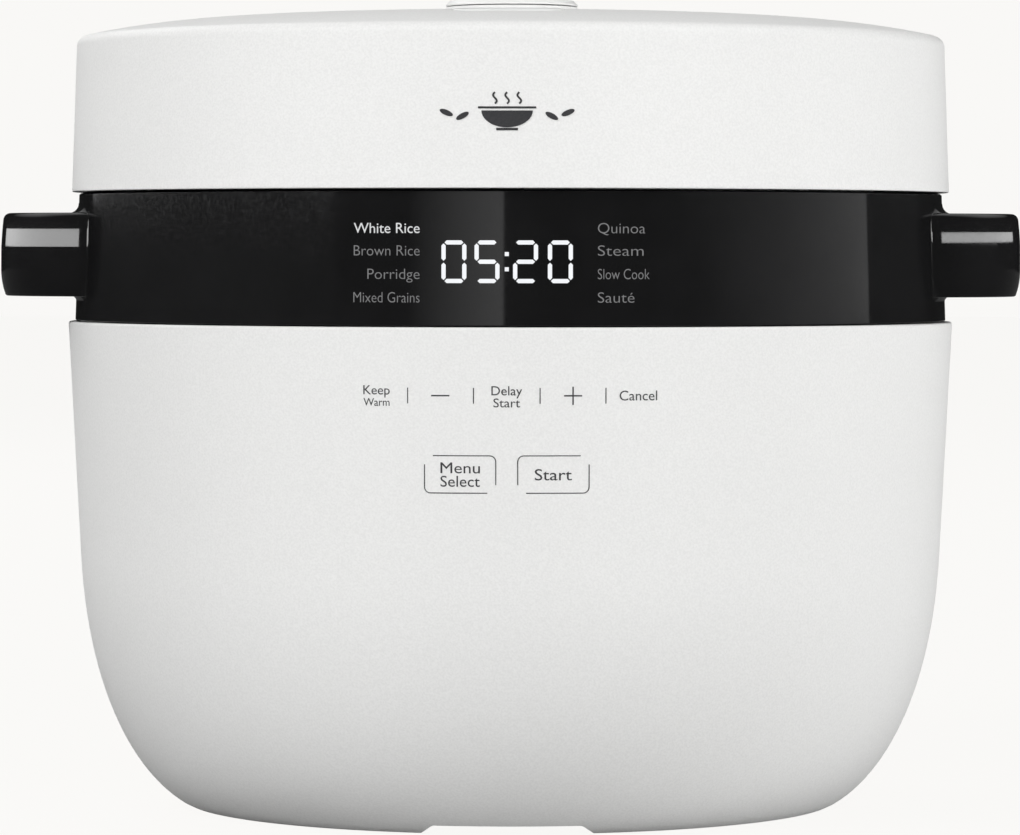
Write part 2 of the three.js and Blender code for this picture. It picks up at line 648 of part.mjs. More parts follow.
function ventWell() {
  const body = turned([
    [8.8, LINER.hubTopZ + 0.2],
    [VENT.wellR, LINER.hubTopZ + 0.2],
    [VENT.wellR, 251],
    [VENT.wellR - VENT_WALL, 251],
    [VENT.wellR - VENT_WALL, LINER.hubTopZ + 1.8],
    [8.8, LINER.hubTopZ + 1.8],
    [8.8, LINER.hubTopZ + 0.2],
  ], 24);
  return body.translate([0, VENT.y, 0]);
}

const ventSeal = () => ring(9, 15, LINER.hubTopZ + 2, VENT.bottomZ - 0.2).translate([0, VENT.y, 0]);

function ventChamber() {
  const body = turnedRing([
    [7, VENT.bottomZ],
    [VENT.chamberR, VENT.bottomZ],
    [VENT.chamberR, 252.8],
    [VENT.capR, 252.8],
    [VENT.capR, VENT.topZ - 1.5],
    [VENT.capR - 2, VENT.topZ - 1.5],
    [VENT.capR - 2, 255],
    [VENT.chamberR - VENT_WALL, 255],
    [VENT.chamberR - VENT_WALL, VENT.bottomZ + 1.6],
    [7, VENT.bottomZ + 1.6],
  ], 24);
  return body.translate([0, VENT.y, 0]);
}

function ventCap() {
  const { capR, topZ } = VENT;
  const plug = ring(14, 15.4, 249, topZ - 0.8, 24);
  const underZ = topZ - 1.1;
  const top = turned([[0, underZ], [capR, underZ], [capR, underZ + 0.4], [capR - 1, topZ], [0, topZ]], 24);
  const slots = [-1, 0, 1].map((i) => block([-6.5, 6.5], [5.2 * i - 1.2, 5.2 * i + 1.2], [240, 270]));
  return cut(plug.add(top), ...slots).translate([0, VENT.y, 0]);
}

function buttonFrame() {
  const sleeve = prism(pill(BUTTON.length + 5, BUTTON.width + 5), 226, 245.8, 6);
  const room = prism(pill(BUTTON.length + 0.9, BUTTON.width + 0.9), 228, 260, 6);
  return cut(sleeve, room, disc(BUTTON.stemR + 0.5, 220, 240, 12)).translate([0, BUTTON.y, 0]);
}

function releaseButton() {
  const slab = prism(pill(BUTTON.length, BUTTON.width), BUTTON.bottomZ, 260, 8).translate([0, BUTTON.y, 0]);
  const under = turned([[0, 200], ...lidOutline(BUTTON.proud, 8)]);
  const stem = disc(BUTTON.stemR, BUTTON.stemZ, BUTTON.bottomZ + 1, 12).translate([0, BUTTON.y, 0]);
  return slab.intersect(under).add(stem);
}

const buttonSpring = () => coil(5, 0.5, 228.2, BUTTON.bottomZ - 0.2, 4).translate([0, BUTTON.y, 0]);

// Lever with the button's arm on one side of its pin and the hook on the other.
function latchLever() {
  const { y, z, hookZ, armEndY, halfWidth } = LATCH;
  const armOutline = [[y, z - 1], [armEndY, z - 0.5], [armEndY, z + 2], [y, z + 2]];
  const arm = sidePrism(armOutline, -halfWidth, halfWidth);
  const hook = sidePrism([
    [y - 1.4, z],
    [y - 1.4, hookZ],
    [y + 1.6, hookZ],
    [y + 3.4, hookZ + 3.4],
    [y + 1.4, hookZ + 3.4],
    [y + 1.4, z],
  ], -halfWidth, halfWidth);
  const hub = crossBar(LATCH.hubR, -halfWidth, halfWidth, y, z, 16);
  return cut(union(arm, hook, hub), crossBar(LATCH.pinR + 0.3, -10, 10, y, z, 12));
}

const latchPin = () => crossBar(LATCH.pinR, -11.5, 11.5, LATCH.y, LATCH.z, 12);

function latchSpring() {
  const room = 8 - LATCH.halfWidth - 2 * GAP;
  const wire = coil(2.5, 0.5, -room / 2, room / 2, 1.5);
  return wire.rotate([0, 90, 0]).translate([LATCH.halfWidth + GAP + room / 2, LATCH.y, LATCH.z]);
}

const hingePin = () => crossBar(HINGE.pinR, 0.6 - HINGE.earOuter, HINGE.earOuter - 0.6, HINGE.y, HINGE.z);

function hingeSpring() {
  const wire = coil(4.6, 0.9, -8, 8, 4);
  return wire.rotate([0, 90, 0]).translate([0, HINGE.y, HINGE.z]);
}

// ---------------------------------------------------------------- condensation cup
function condensationCup() {
  const { halfWidth, bottomZ, topZ, backY, wall } = CUP;
  const outside = block([-halfWidth, halfWidth], [125, backY], [bottomZ, topZ]);
  const inside = block([wall - halfWidth, halfWidth - wall], [125, backY - wall], [bottomZ + wall, topZ + 5]);
  const face = (clear) => disc(BAND.bottomR + clear, 140, 200, FINE);
  return cut(cut(outside, face(0.6)), cut(inside, face(0.6 + wall)));
}

// ---------------------------------------------------------------- assembly
const cooker = new THREE.Group();
cooker.position.y = -AXIS_SHIFT;
cooker.add(
  piece("outer_shell", outerShell(), WHITE_SHELL),
  piece("bottom_cover", bottomCover(), BLACK_MATTE),
  ...FOOT.angles.map((degrees, i) => piece(`foot_${i + 1}`, placed(foot(), FOOT.ring, degrees), RUBBER)),
  ...SCREW_POST.angles.map((degrees, i) =>
    piece(`cover_screw_${i + 1}`, placed(coverScrew(), SCREW_POST.ring, degrees), STEEL),
  ),
  piece("collar", collar(), BLACK_GLOSS),
  piece("display_lens", displayLens(), BLACK_GLOSS),
  piece("light_guide", lightGuide(), GUIDE_WHITE),
  piece("display_board", displayBoard(), CIRCUIT),
  piece("touch_board", touchBoard(), CIRCUIT),
  piece("right_handle", handle(1), BLACK_GLOSS),
  piece("left_handle", handle(-1), BLACK_GLOSS),
  ...HANDLE_SCREW.angles.map((degrees, i) => piece(`handle_screw_${i + 1}`, handleScrew(degrees), STEEL)),
  piece("inner_pot", innerPot(), NON_STICK),
  piece("heat_shield", heatShield(), ALUMINIUM),
  piece("heating_plate", heatingPlate(), ALUMINIUM),
  piece("heater_element", heaterElement(), STEEL),
  ...[90, 210, 330].map((degrees, i) =>
    piece(`plate_post_${i + 1}`, placed(platePost(), 76, degrees), CERAMIC),
  ),
  piece("sensor_bracket", sensorBracket(), STEEL),
  piece("sensor_spring", coil(8, 0.6, 21.5, SENSOR.topZ - 1.8, 4), STEEL),
  piece("sensor_cap", sensorCap(), ALUMINIUM),
  piece("power_board", powerBoard(), CIRCUIT),
  piece("transformer", transformer(), DARK_LINER),
  piece("relay", relay(), BLACK_MATTE),
  piece("inlet_housing", inletHousing(), BLACK_MATTE),
  ...Object.entries(INLET_PINS).map(([name, at]) => piece(`inlet_pin_${name}`, inletPin(at), BRASS)),
  piece("condensation_cup", condensationCup(), CLEAR_CUP),
  piece("hinge_pin", hingePin(), STEEL),
  piece("hinge_spring", hingeSpring(), STEEL),
  piece("lid_shell", lidShell(), WHITE_SHELL),
  piece("lid_liner", lidLiner(), DARK_LINER),
  piece("inner_lid", innerLid(), ALUMINIUM),
  piece("gasket", gasket(), SILICONE),
  piece("lid_sensor", lidSensor(), STEEL),
  piece("vent_well", ventWell(), DARK_LINER),
  piece("vent_seal", ventSeal(), SILICONE),
  piece("vent_chamber", ventChamber(), WHITE_SHELL),
  piece("vent_cap", ventCap(), WHITE_SHELL),
  piece("button_frame", buttonFrame(), DARK_LINER),
  piece("release_button", releaseButton(), WHITE_SHELL),
  piece("button_spring", buttonSpring(), STEEL),
  piece("latch_lever", latchLever(), BLACK_MATTE),
  piece("latch_pin", latchPin(), STEEL),
  piece("latch_spring", latchSpring(), STEEL),
);

export default cooker;
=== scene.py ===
from math import atan2, ceil, cos, degrees, hypot, pi, radians, sin, sqrt, tan

import bmesh
import bpy
from mathutils import Matrix, Vector


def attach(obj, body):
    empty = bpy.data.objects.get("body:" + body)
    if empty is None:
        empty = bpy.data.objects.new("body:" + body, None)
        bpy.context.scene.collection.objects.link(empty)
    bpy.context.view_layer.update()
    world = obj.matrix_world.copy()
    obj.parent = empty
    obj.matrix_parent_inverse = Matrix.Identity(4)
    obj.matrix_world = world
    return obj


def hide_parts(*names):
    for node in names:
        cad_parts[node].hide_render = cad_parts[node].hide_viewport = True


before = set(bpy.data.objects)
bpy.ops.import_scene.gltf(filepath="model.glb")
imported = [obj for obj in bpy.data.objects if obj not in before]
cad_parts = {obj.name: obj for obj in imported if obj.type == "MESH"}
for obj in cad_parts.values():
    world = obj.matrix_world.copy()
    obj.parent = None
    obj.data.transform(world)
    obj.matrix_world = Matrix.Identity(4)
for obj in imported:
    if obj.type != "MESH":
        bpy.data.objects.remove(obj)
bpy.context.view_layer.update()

# Lengths are in millimetres about the pot's axis until they become vertices, which are in metres.
MM = 0.001
AXIS_Y = -8.0
FINE = 240
scene = bpy.context.scene
ROOT = "body"

# Driving sizes, which the CAD parts share. Pairs are (radius, height).
SHELL_RIM, SHELL_BEND, SHELL_TOP = (104.0, 0.6), (137.8, 80.0), (141.7, 154.9)
BAND_BOTTOM, BAND_TOP = (139.5, 155.3), (138.2, 195.7)
LID_FOOT, LID_SHOULDER = (140.7, 196.1), (138.9, 242.4)
LENS_HALF_ANGLE = 71.8
HINGE_Y, HINGE_Z = 148.0, 192.0
PIN_HOLE = 2.8
LATCH_Y, LATCH_Z = -129.9, 214.0
VENT_Y = 48.0
BUTTON_Y = -103.0


def place(x, y, z):
    return Vector((x * MM, (y + AXIS_Y) * MM, z * MM))


# ---- materials
class Paint:
    """A node material with a Principled shader and short ways to add texture to it."""

    def __init__(self, name, color, roughness, metallic=0.0, **sockets):
        self.material = bpy.data.materials.new(name)
        self.material.use_nodes = True
        self.tree = self.material.node_tree
        self.shader = self.tree.nodes["Principled BSDF"]
        self.color = color
        self.put("Base Color", (*color, 1))
        self.put("Roughness", roughness)
        self.put("Metallic", metallic)
        for socket, value in sockets.items():
            self.put(socket.replace("_", " "), value)
        self.where = self.node("ShaderNodeTexCoord").outputs["Object"]
        self.height = None

    def put(self, socket, value):
        self.shader.inputs[socket].default_value = value

    def node(self, kind, **settings):
        made = self.tree.nodes.new(kind)
        for key, value in settings.items():
            setattr(made, key, value)
        return made

    def link(self, source, target):
        self.tree.links.new(source, target)

    def stretched(self, scale):
        mapping = self.node("ShaderNodeMapping")
        self.link(self.where, mapping.inputs["Vector"])
        mapping.inputs["Scale"].default_value = scale
        return mapping.outputs["Vector"]

    def noise(self, scale, detail=2.0, where=None, roughness=0.5):
        made = self.node("ShaderNodeTexNoise")
        self.link(where or self.where, made.inputs["Vector"])
        made.inputs["Scale"].default_value = scale
        made.inputs["Detail"].default_value = detail
        made.inputs["Roughness"].default_value = roughness
        return made.outputs["Fac"]

    def cells(self, scale):
        made = self.node("ShaderNodeTexVoronoi")
        self.link(self.where, made.inputs["Vector"])
        made.inputs["Scale"].default_value = scale
        return made.outputs["Distance"]

    def ramp(self, value, *stops):
        made = self.node("ShaderNodeValToRGB")
        self.link(value, made.inputs["Fac"])
        elements = made.color_ramp.elements
        while len(elements) < len(stops):
            elements.new(0.5)
        for element, (place_at, color) in zip(elements, stops):
            element.position = place_at
            element.color = (*color, 1) if isinstance(color, tuple) else (color, color, color, 1)
        return made.outputs["Color"]

    def tint(self, value, amount, low=0.35, high=0.65):
        """Colour varies by amount either way as value goes from low to high."""
        dark = tuple(c * (1 - amount) for c in self.color)
        light = tuple(min(1, c * (1 + amount)) for c in self.color)
        self.link(self.ramp(value, (low, dark), (high, light)), self.shader.inputs["Base Color"])
        return self

    def rough(self, value, low, high):
        self.link(self.ramp(value, (0.3, low), (0.7, high)), self.shader.inputs["Roughness"])
        return self

    def bump(self, value, depth, strength=1.0):
        """depth is in millimetres, and one bump stacks on the last."""
        made = self.node("ShaderNodeBump")
        made.inputs["Strength"].default_value = strength
        made.inputs["Distance"].default_value = depth * MM
        self.link(value, made.inputs["Height"])
        if self.height:
            self.link(self.height, made.inputs["Normal"])
        self.height = made.outputs["Normal"]
        self.link(self.height, self.shader.inputs["Normal"])
        return self


# Satin metal parts keep a share of diffuse light, as brushed and blasted surfaces do.
METAL = 0.6


def mottled(name, color, roughness, tint, rough=None, bump=None, **sockets):
    """tint is (scale, detail, amount), rough (scale, detail, low, high), bump (scale, detail, mm, share)."""
    paint = Paint(name, color, roughness, **sockets)
    paint.tint(paint.noise(*tint[:2]), tint[2])
    if rough:
        paint.rough(paint.noise(*rough[:2]), *rough[2:])
    if bump:
        paint.bump(paint.noise(*bump[:2]), *bump[2:])
    return paint


def textured_white():
    paint = Paint("white_textured", (0.83, 0.83, 0.82), 0.5)
    grain = paint.noise(1500, 3)
    paint.tint(grain, 0.035)
    paint.rough(paint.noise(700, 2), 0.42, 0.56)
    paint.bump(paint.cells(1900), 0.03, 0.45)
    return paint.bump(grain, 0.04, 0.5)


def gloss_black(name, color):
    return mottled(name, color, 0.07, (45, 2, 0.15), (900, 4, 0.035, 0.075), (28, 1, 0.004, 0.05))


def matte_black(name, color, roughness):
    rough = (500, 2, roughness - 0.08, roughness + 0.08)
    paint = mottled(name, color, roughness, (900, 3, 0.22), rough)
    return paint.bump(paint.cells(1400), 0.05, 0.5)


def turned_metal(name, color, roughness):
    """Metal with fine lines round it."""
    paint = Paint(name, color, roughness, METAL)
    lines = paint.noise(90, 4, paint.stretched((1, 1, 60)))
    paint.tint(lines, 0.08)
    paint.rough(lines, roughness - 0.08, roughness + 0.1)
    return paint.bump(lines, 0.015, 0.4)


def spun_metal(name, color, roughness):
    """Concentric turning marks about the pot's axis."""
    paint = Paint(name, color, roughness, METAL)
    shift = paint.node("ShaderNodeVectorMath", operation="ADD")
    shift.inputs[1].default_value = (0, -AXIS_Y * MM, 0)
    paint.link(paint.where, shift.inputs[0])
    flat = paint.node("ShaderNodeVectorMath", operation="MULTIPLY")
    flat.inputs[1].default_value = (1, 1, 0)
    paint.link(shift.outputs["Vector"], flat.inputs[0])
    radius = paint.node("ShaderNodeVectorMath", operation="LENGTH")
    paint.link(flat.outputs["Vector"], radius.inputs[0])
    along = paint.node("ShaderNodeCombineXYZ")
    paint.link(radius.outputs["Value"], along.inputs["X"])
    lines = paint.noise(900, 2, along.outputs["Vector"])
    paint.tint(lines, 0.07)
    paint.rough(paint.noise(120, 3), roughness - 0.06, roughness + 0.08)
    return paint.bump(lines, 0.006, 0.4)


def non_stick():
    coat = (0.03, 0.03, 0.032)
    paint = Paint("non_stick", coat, 0.33)
    specks = paint.ramp(paint.cells(700), (0.1, (0.16, 0.16, 0.165)), (0.22, coat))
    paint.link(specks, paint.shader.inputs["Base Color"])
    paint.rough(paint.noise(420, 3), 0.26, 0.42)
    return paint.bump(paint.noise(650, 3), 0.03, 0.35)


def board_green():
    mask = (0.02, 0.12, 0.05)
    paint = Paint("board_green", mask, 0.4)
    tracks = paint.noise(160, 1, paint.stretched((1, 0.2, 1)))
    copper = paint.ramp(tracks, (0.48, mask), (0.52, (0.03, 0.17, 0.07)))
    paint.link(copper, paint.shader.inputs["Base Color"])
    paint.rough(paint.noise(300, 2), 0.34, 0.5)
    return paint.bump(tracks, 0.03, 0.4)


def printed(name, color):
    return mottled(name, color, 0.5, (1600, 2, 0.1), (900, 2, 0.42, 0.58))


def lit(name, color, strength):
    """A lit mark: a little unevenness, as a light pipe gives."""
    paint = Paint(name, (0.01, 0.01, 0.01), 0.4)
    paint.put("Emission Strength", strength)
    paint.rough(paint.noise(500, 2), 0.35, 0.5)
    glow = paint.ramp(paint.noise(220, 2), (0.3, tuple(0.94 * c for c in color)), (0.7, color))
    paint.link(glow, paint.shader.inputs["Emission Color"])
    return paint


SMOKED = {"Transmission_Weight": 0.55, "IOR": 1.49}
MILKY = {"Subsurface_Weight": 0.15, "Subsurface_Radius": (0.002, 0.002, 0.0018)}
PLAIN = {
    "white_smooth": ("white_smooth", (0.85, 0.85, 0.84), 0.38, (60, 3, 0.01), (300, 2, 0.33, 0.44),
                     (1300, 2, 0.012, 0.3)),
    "liner": ("liner_grey", (0.05, 0.052, 0.056), 0.42, (300, 3, 0.12), (220, 3, 0.36, 0.5),
              (1100, 2, 0.03, 0.4)),
    "rubber": ("rubber", (0.025, 0.025, 0.026), 0.78, (300, 3, 0.25), (200, 3, 0.68, 0.86),
               (900, 3, 0.05, 0.5)),
    "ceramic": ("ceramic", (0.72, 0.69, 0.62), 0.7, (260, 4, 0.08), None, (700, 3, 0.04, 0.4)),
}
PAINTS = {
    **{key: mottled(*settings) for key, settings in PLAIN.items()},
    "silicone": mottled("silicone", (0.62, 0.62, 0.6), 0.55, (80, 3, 0.04), (250, 2, 0.48, 0.62),
                        (800, 2, 0.02, 0.3), **MILKY),
    "cup": mottled("cup_smoked", (0.16, 0.17, 0.18), 0.16, (70, 2, 0.06), (260, 3, 0.12, 0.24),
                   (500, 2, 0.01, 0.2), **SMOKED),
    "white": textured_white(),
    "black": gloss_black("black_gloss", (0.0066, 0.0066, 0.0069)),
    "lens": gloss_black("display_gloss", (0.0064, 0.0064, 0.0067)),
    "matte": matte_black("black_matte", (0.022, 0.022, 0.023), 0.6),
    "core": matte_black("core_steel", (0.06, 0.06, 0.062), 0.45),
    "non_stick": non_stick(),
    "aluminium": spun_metal("aluminium_spun", (0.66, 0.67, 0.68), 0.32),
    "steel": turned_metal("steel_plain", (0.55, 0.56, 0.58), 0.3),
    "brass": turned_metal("brass_plain", (0.66, 0.5, 0.22), 0.26),
    "board": board_green(),
    "ink": printed("ink_dark", (0.045, 0.045, 0.048)),
    "scale_ink": printed("ink_scale", (0.4, 0.4, 0.4)),
    "digit": lit("digit_white", (0.95, 0.97, 1.0), 1.0),
    "label_on": lit("label_white", (0.9, 0.91, 0.92), 0.8),
    "label_off": lit("label_grey", (0.6, 0.6, 0.61), 0.33),
}


# ---- mesh tools
def arc(x, z, radius, start, end, steps):
    """Points on a round stretch, between two angles in degrees."""
    turns = [radians(start + (end - start) * k / steps) for k in range(steps + 1)]
    return [(x + radius * cos(turn), z + radius * sin(turn)) for turn in turns]


def stitch(bm, rings):
    """Faces from each ring of vertices to the next, and a cap on the first and last, which it returns."""
    caps = [bm.faces.new(ring) for ring in (rings[0], rings[-1])]
    for here, there in zip(rings, rings[1:]):
        for k in range(len(here)):
            n = (k + 1) % len(here)
            bm.faces.new((here[k], here[n], there[n], there[k]))
    return caps


def rounded(points, steps=5, closed=False):
    """Corners given as (r, z, radius) become arcs; plain (r, z) corners stay sharp."""
    line = []
    count = len(points)
    for i, point in enumerate(points):
        corner = Vector(point[:2])
        radius = point[2] if len(point) > 2 else 0
        if not radius or (not closed and i in (0, count - 1)):
            line.append(tuple(corner))
            continue
        before = (Vector(points[i - 1][:2]) - corner).normalized()
        after = (Vector(points[(i + 1) % count][:2]) - corner).normalized()
        half = before.angle(after) / 2
        if half > radians(89.5):
            line.append(tuple(corner))
            continue
        reach = radius / tan(half)
        centre = corner + (before + after).normalized() * (radius / sin(half))
        first = corner + before * reach - centre
        last = corner + after * reach - centre
        turn = first.angle_signed(last)
        for k in range(steps + 1):
            spin = Matrix.Rotation(-turn * k / steps, 2)
            line.append(tuple(centre + spin @ first))
    return line


def revolve(profile, sides=FINE, closed=False, start=0.0, sweep=360.0, centre=(0.0, 0.0)):
    """A solid of revolution. An open profile starts and ends on the axis."""
    bm = bmesh.new()
    full = sweep >= 360
    columns = sides if full else sides + 1
    on_axis = {}
    grid = []
    for i in range(columns):
        turn = radians(start + sweep * i / sides)
        column = []
        for k, (r, z) in enumerate(profile):
            if r < 1e-6:
                if k not in on_axis:
                    on_axis[k] = bm.verts.new(place(centre[0], centre[1], z))
                column.append(on_axis[k])
            else:
                x = centre[0] + r * cos(turn)
                y = centre[1] + r * sin(turn)
                column.append(bm.verts.new(place(x, y, z)))
        grid.append(column)
    spans = len(profile) if closed else len(profile) - 1
    for i in range(sides):
        here, there = grid[i], grid[(i + 1) % columns]
        for k in range(spans):
            n = (k + 1) % len(profile)
            corners = []
            for vert in (here[k], there[k], there[n], here[n]):
                if vert not in corners:
                    corners.append(vert)
            if len(corners) > 2:
                bm.faces.new(corners)
    if not full:
        for column in (grid[0], grid[-1]):
            bm.faces.new([v for n, v in enumerate(column) if v not in column[:n]])
    return bm


def disc(radius, low, high, sides, centre=(0.0, 0.0)):
    return revolve([(0, low), (radius, low), (radius, high), (0, high)], sides, centre=centre)


def bevelled(bm, edges, offset, steps):
    if offset:
        bmesh.ops.bevel(bm, geom=edges, offset=offset * MM, segments=steps, profile=0.5, affect="EDGES")
    return bm


def box(x, y, z, bevel=0.0, steps=3):
    """A box between limits, with its edges rounded."""
    bm = bmesh.new()
    for vert in bmesh.ops.create_cube(bm, size=1.0)["verts"]:
        limits = ((x, vert.co.x), (y, vert.co.y), (z, vert.co.z))
        vert.co = place(*[(lim[0] + lim[1]) / 2 + c * (lim[1] - lim[0]) for lim, c in limits])
    return bevelled(bm, bm.edges[:], bevel, steps)


def prism(outline, low, high, plane="xy", bevel=0.0):
    """An outline carried along the third axis: 'xy' rises along Z, 'yz' runs along X, 'xz' along Y."""
    bm = bmesh.new()
    order = {
        "xy": lambda a, b, c: place(a, b, c),
        "yz": lambda a, b, c: place(c, a, b),
        "xz": lambda a, b, c: place(a, c, b),
    }[plane]
    rows = [[bm.verts.new(order(a, b, level)) for a, b in outline] for level in (low, high)]
    caps = stitch(bm, rows)
    return bevelled(bm, [edge for cap in caps for edge in cap.edges], bevel, 3)


def rod(radius, x0, x1, y, z, chamfer=0.0):
    """A round bar along X."""
    return prism(arc(y, z, radius, 0, 360, 48)[:-1], x0, x1, "yz", chamfer)


def pill(length, width, y, steps=16):
    half, radius = (length - width) / 2, width / 2
    return arc(half, y, radius, -90, 90, steps) + arc(-half, y, radius, 90, 270, steps)


def joined(*parts):
    """Several closed shells as one mesh."""
    whole = bmesh.new()
    for part in parts:
        mesh = bpy.data.meshes.new("joining")
        part.to_mesh(mesh)
        part.free()
        whole.from_mesh(mesh)
        bpy.data.meshes.remove(mesh)
    return whole


def temporary(bm):
    bmesh.ops.recalc_face_normals(bm, faces=bm.faces)
    mesh = bpy.data.meshes.new("working")
    bm.to_mesh(mesh)
    bm.free()
    obj = bpy.data.objects.new("working", mesh)
    scene.collection.objects.link(obj)
    return obj


def carved(bm, *cutters, operation="DIFFERENCE", folded=False):
    """bm with each cutter taken away, or added. A folded mesh may cross itself."""
    target = temporary(bm)
    tools = [temporary(cutter) for cutter in cutters]
    for tool in tools:
        step = target.modifiers.new("carve", "BOOLEAN")
        step.operation = operation
        step.solver = "EXACT"
        step.use_self = folded
        step.object = tool
    bpy.context.view_layer.update()
    evaluated = target.evaluated_get(bpy.context.evaluated_depsgraph_get())
    result = bmesh.new()
    result.from_mesh(evaluated.to_mesh())
    evaluated.to_mesh_clear()
    for obj in (target, *tools):
        mesh = obj.data
        bpy.data.objects.remove(obj)
        bpy.data.meshes.remove(mesh)
    bmesh.ops.dissolve_degenerate(result, dist=1e-7, edges=result.edges)
    return result


def piece(name, bm, paint, body, nodes=(), sharp=30):
    """Turns a bmesh into a named piece of the object."""
    bmesh.ops.recalc_face_normals(bm, faces=bm.faces)
    limit = radians(sharp)
    for face in bm.faces:
        face.smooth = True
    for edge in bm.edges:
        edge.smooth = len(edge.link_faces) != 2 or edge.calc_face_angle(0) < limit
    mesh = bpy.data.meshes.new(name)
    bm.to_mesh(mesh)
    bm.free()
    mesh.materials.append(PAINTS[paint].material)
    obj = bpy.data.objects.new(name, mesh)
    scene.collection.objects.link(obj)
    weigh = obj.modifiers.new("face weighted normals", "WEIGHTED_NORMAL")
    weigh.keep_sharp = True
    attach(obj, body)
    if nodes:
        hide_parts(*nodes)
    return obj


# ---- surfaces that carry print
def cone(low, high):
    """The radius of a straight-sided round wall at any height, from its (radius, height) ends."""
    (r0, z0), (r1, z1) = low, high
    return lambda z: r0 + (z - z0) * (r1 - r0) / (z1 - z0)


shell_radius = cone(SHELL_BEND, SHELL_TOP)
band_radius = cone(BAND_BOTTOM, BAND_TOP)
lid_radius = cone(LID_FOOT, LID_SHOULDER)


def on_front(radius_of, lift):
    """Maps (x, z) seen from the front to the surface, and a height above it."""

    def spot(x, z, above=0.0):
        r = radius_of(z) + lift + above
        return place(x, -sqrt(r * r - x * x), z)

    return spot


def flat_shape(bm, outline, spot, depth, longest=1.2):
    """A thin closed plate with this (x, z) outline, laid on the surface."""
    points = []
    for (x0, z0), (x1, z1) in zip(outline, outline[1:] + outline[:1]):
        cuts = max(1, ceil(hypot(x1 - x0, z1 - z0) / longest))
        points += [(x0 + (x1 - x0) * k / cuts, z0 + (z1 - z0) * k / cuts) for k in range(cuts)]
    rows = [[bm.verts.new(spot(x, z, above)) for x, z in points] for above in (0, depth)]
    bmesh.ops.triangulate(bm, faces=stitch(bm, rows))


def stroke(bm, path, width, spot, depth):
    """A line of even width along a path of (x, z) points, as a thin closed strip."""
    rings = []
    for i, (x, z) in enumerate(path):
        before, after = path[max(0, i - 1)], path[min(len(path) - 1, i + 1)]
        dx, dz = after[0] - before[0], after[1] - before[1]
        size = hypot(dx, dz) / (width / 2)
        left, right = (x - dz / size, z + dx / size), (x + dz / size, z - dx / size)
        corners = ((left, 0), (right, 0), (right, depth), (left, depth))
        rings.append([bm.verts.new(spot(*edge, above)) for edge, above in corners])
    stitch(bm, rings)


def straight(x0, z0, x1, z1, step=1.0):
    cuts = max(1, ceil(hypot(x1 - x0, z1 - z0) / step))
    return [(x0 + (x1 - x0) * k / cuts, z0 + (z1 - z0) * k / cuts) for k in range(cuts + 1)]


def letters(bm, text, x, z, cap, spot, depth, align="CENTER", width=None, thin=0.0):
    """Words in the built-in font, cap millimetres tall, with z at the middle of the capitals."""

    def outline_mesh(body):
        curve = bpy.data.curves.new("words", "FONT")
        curve.body = body
        curve.size = 10
        curve.extrude = 0.5
        curve.resolution_u = 4
        curve.offset = -thin
        obj = bpy.data.objects.new("words", curve)
        scene.collection.objects.link(obj)
        bpy.context.view_layer.update()
        evaluated = obj.evaluated_get(bpy.context.evaluated_depsgraph_get())
        made = bmesh.new()
        made.from_mesh(evaluated.to_mesh())
        evaluated.to_mesh_clear()
        bpy.data.objects.remove(obj)
        bpy.data.curves.remove(curve)
        return made

    gauge = outline_mesh("H")
    tall = max(v.co.y for v in gauge.verts) - min(v.co.y for v in gauge.verts)
    base = min(v.co.y for v in gauge.verts)
    gauge.free()
    words = outline_mesh(text)
    bmesh.ops.remove_doubles(words, verts=words.verts, dist=1e-5)
    low = min(v.co.x for v in words.verts)
    span = max(v.co.x for v in words.verts) - low
    grow = cap / tall
    across = width / span if width else grow
    start = {"LEFT": x, "CENTER": x - across * span / 2, "RIGHT": x - across * span}[align]
    made = {}
    for vert in words.verts:
        flat = (start + (vert.co.x - low) * across, z - cap / 2 + (vert.co.y - base) * grow)
        made[vert] = bm.verts.new(spot(*flat, depth if vert.co.z > 0 else 0))
    for face in words.faces:
        bm.faces.new([made[vert] for vert in face.verts])
    words.free()


# ---- outer shell and underside
WALL = 2.6
FOOT_RING = 96.0
NOTCH_FOOT, NOTCH_HEAD, NOTCH_HEIGHT = 27.0, 22.75, 3.5


def shell_outline(inset, steps=26):
    """The bowl's curve from the rim to the straight wall, as a cubic with a pull at each end."""
    bend, rim = Vector(SHELL_BEND), Vector(SHELL_RIM)
    rise, lean = 44.3 * (bend - Vector(SHELL_TOP)).normalized(), 18.2 * Vector((cos(0.48), sin(0.48)))
    p0, p1, p2, p3 = rim, rim + lean, bend + rise, bend
    points = []
    for i in range(steps + 1):
        t = i / steps
        s = 1 - t
        here = s**3 * p0 + 3 * s * s * t * p1 + 3 * s * t * t * p2 + t**3 * p3
        along = (s * s * (p1 - p0) + 2 * s * t * (p2 - p1) + t * t * (p3 - p2)).normalized()
        points.append((here.x - inset * along.y, here.y + inset * along.x))
    return points


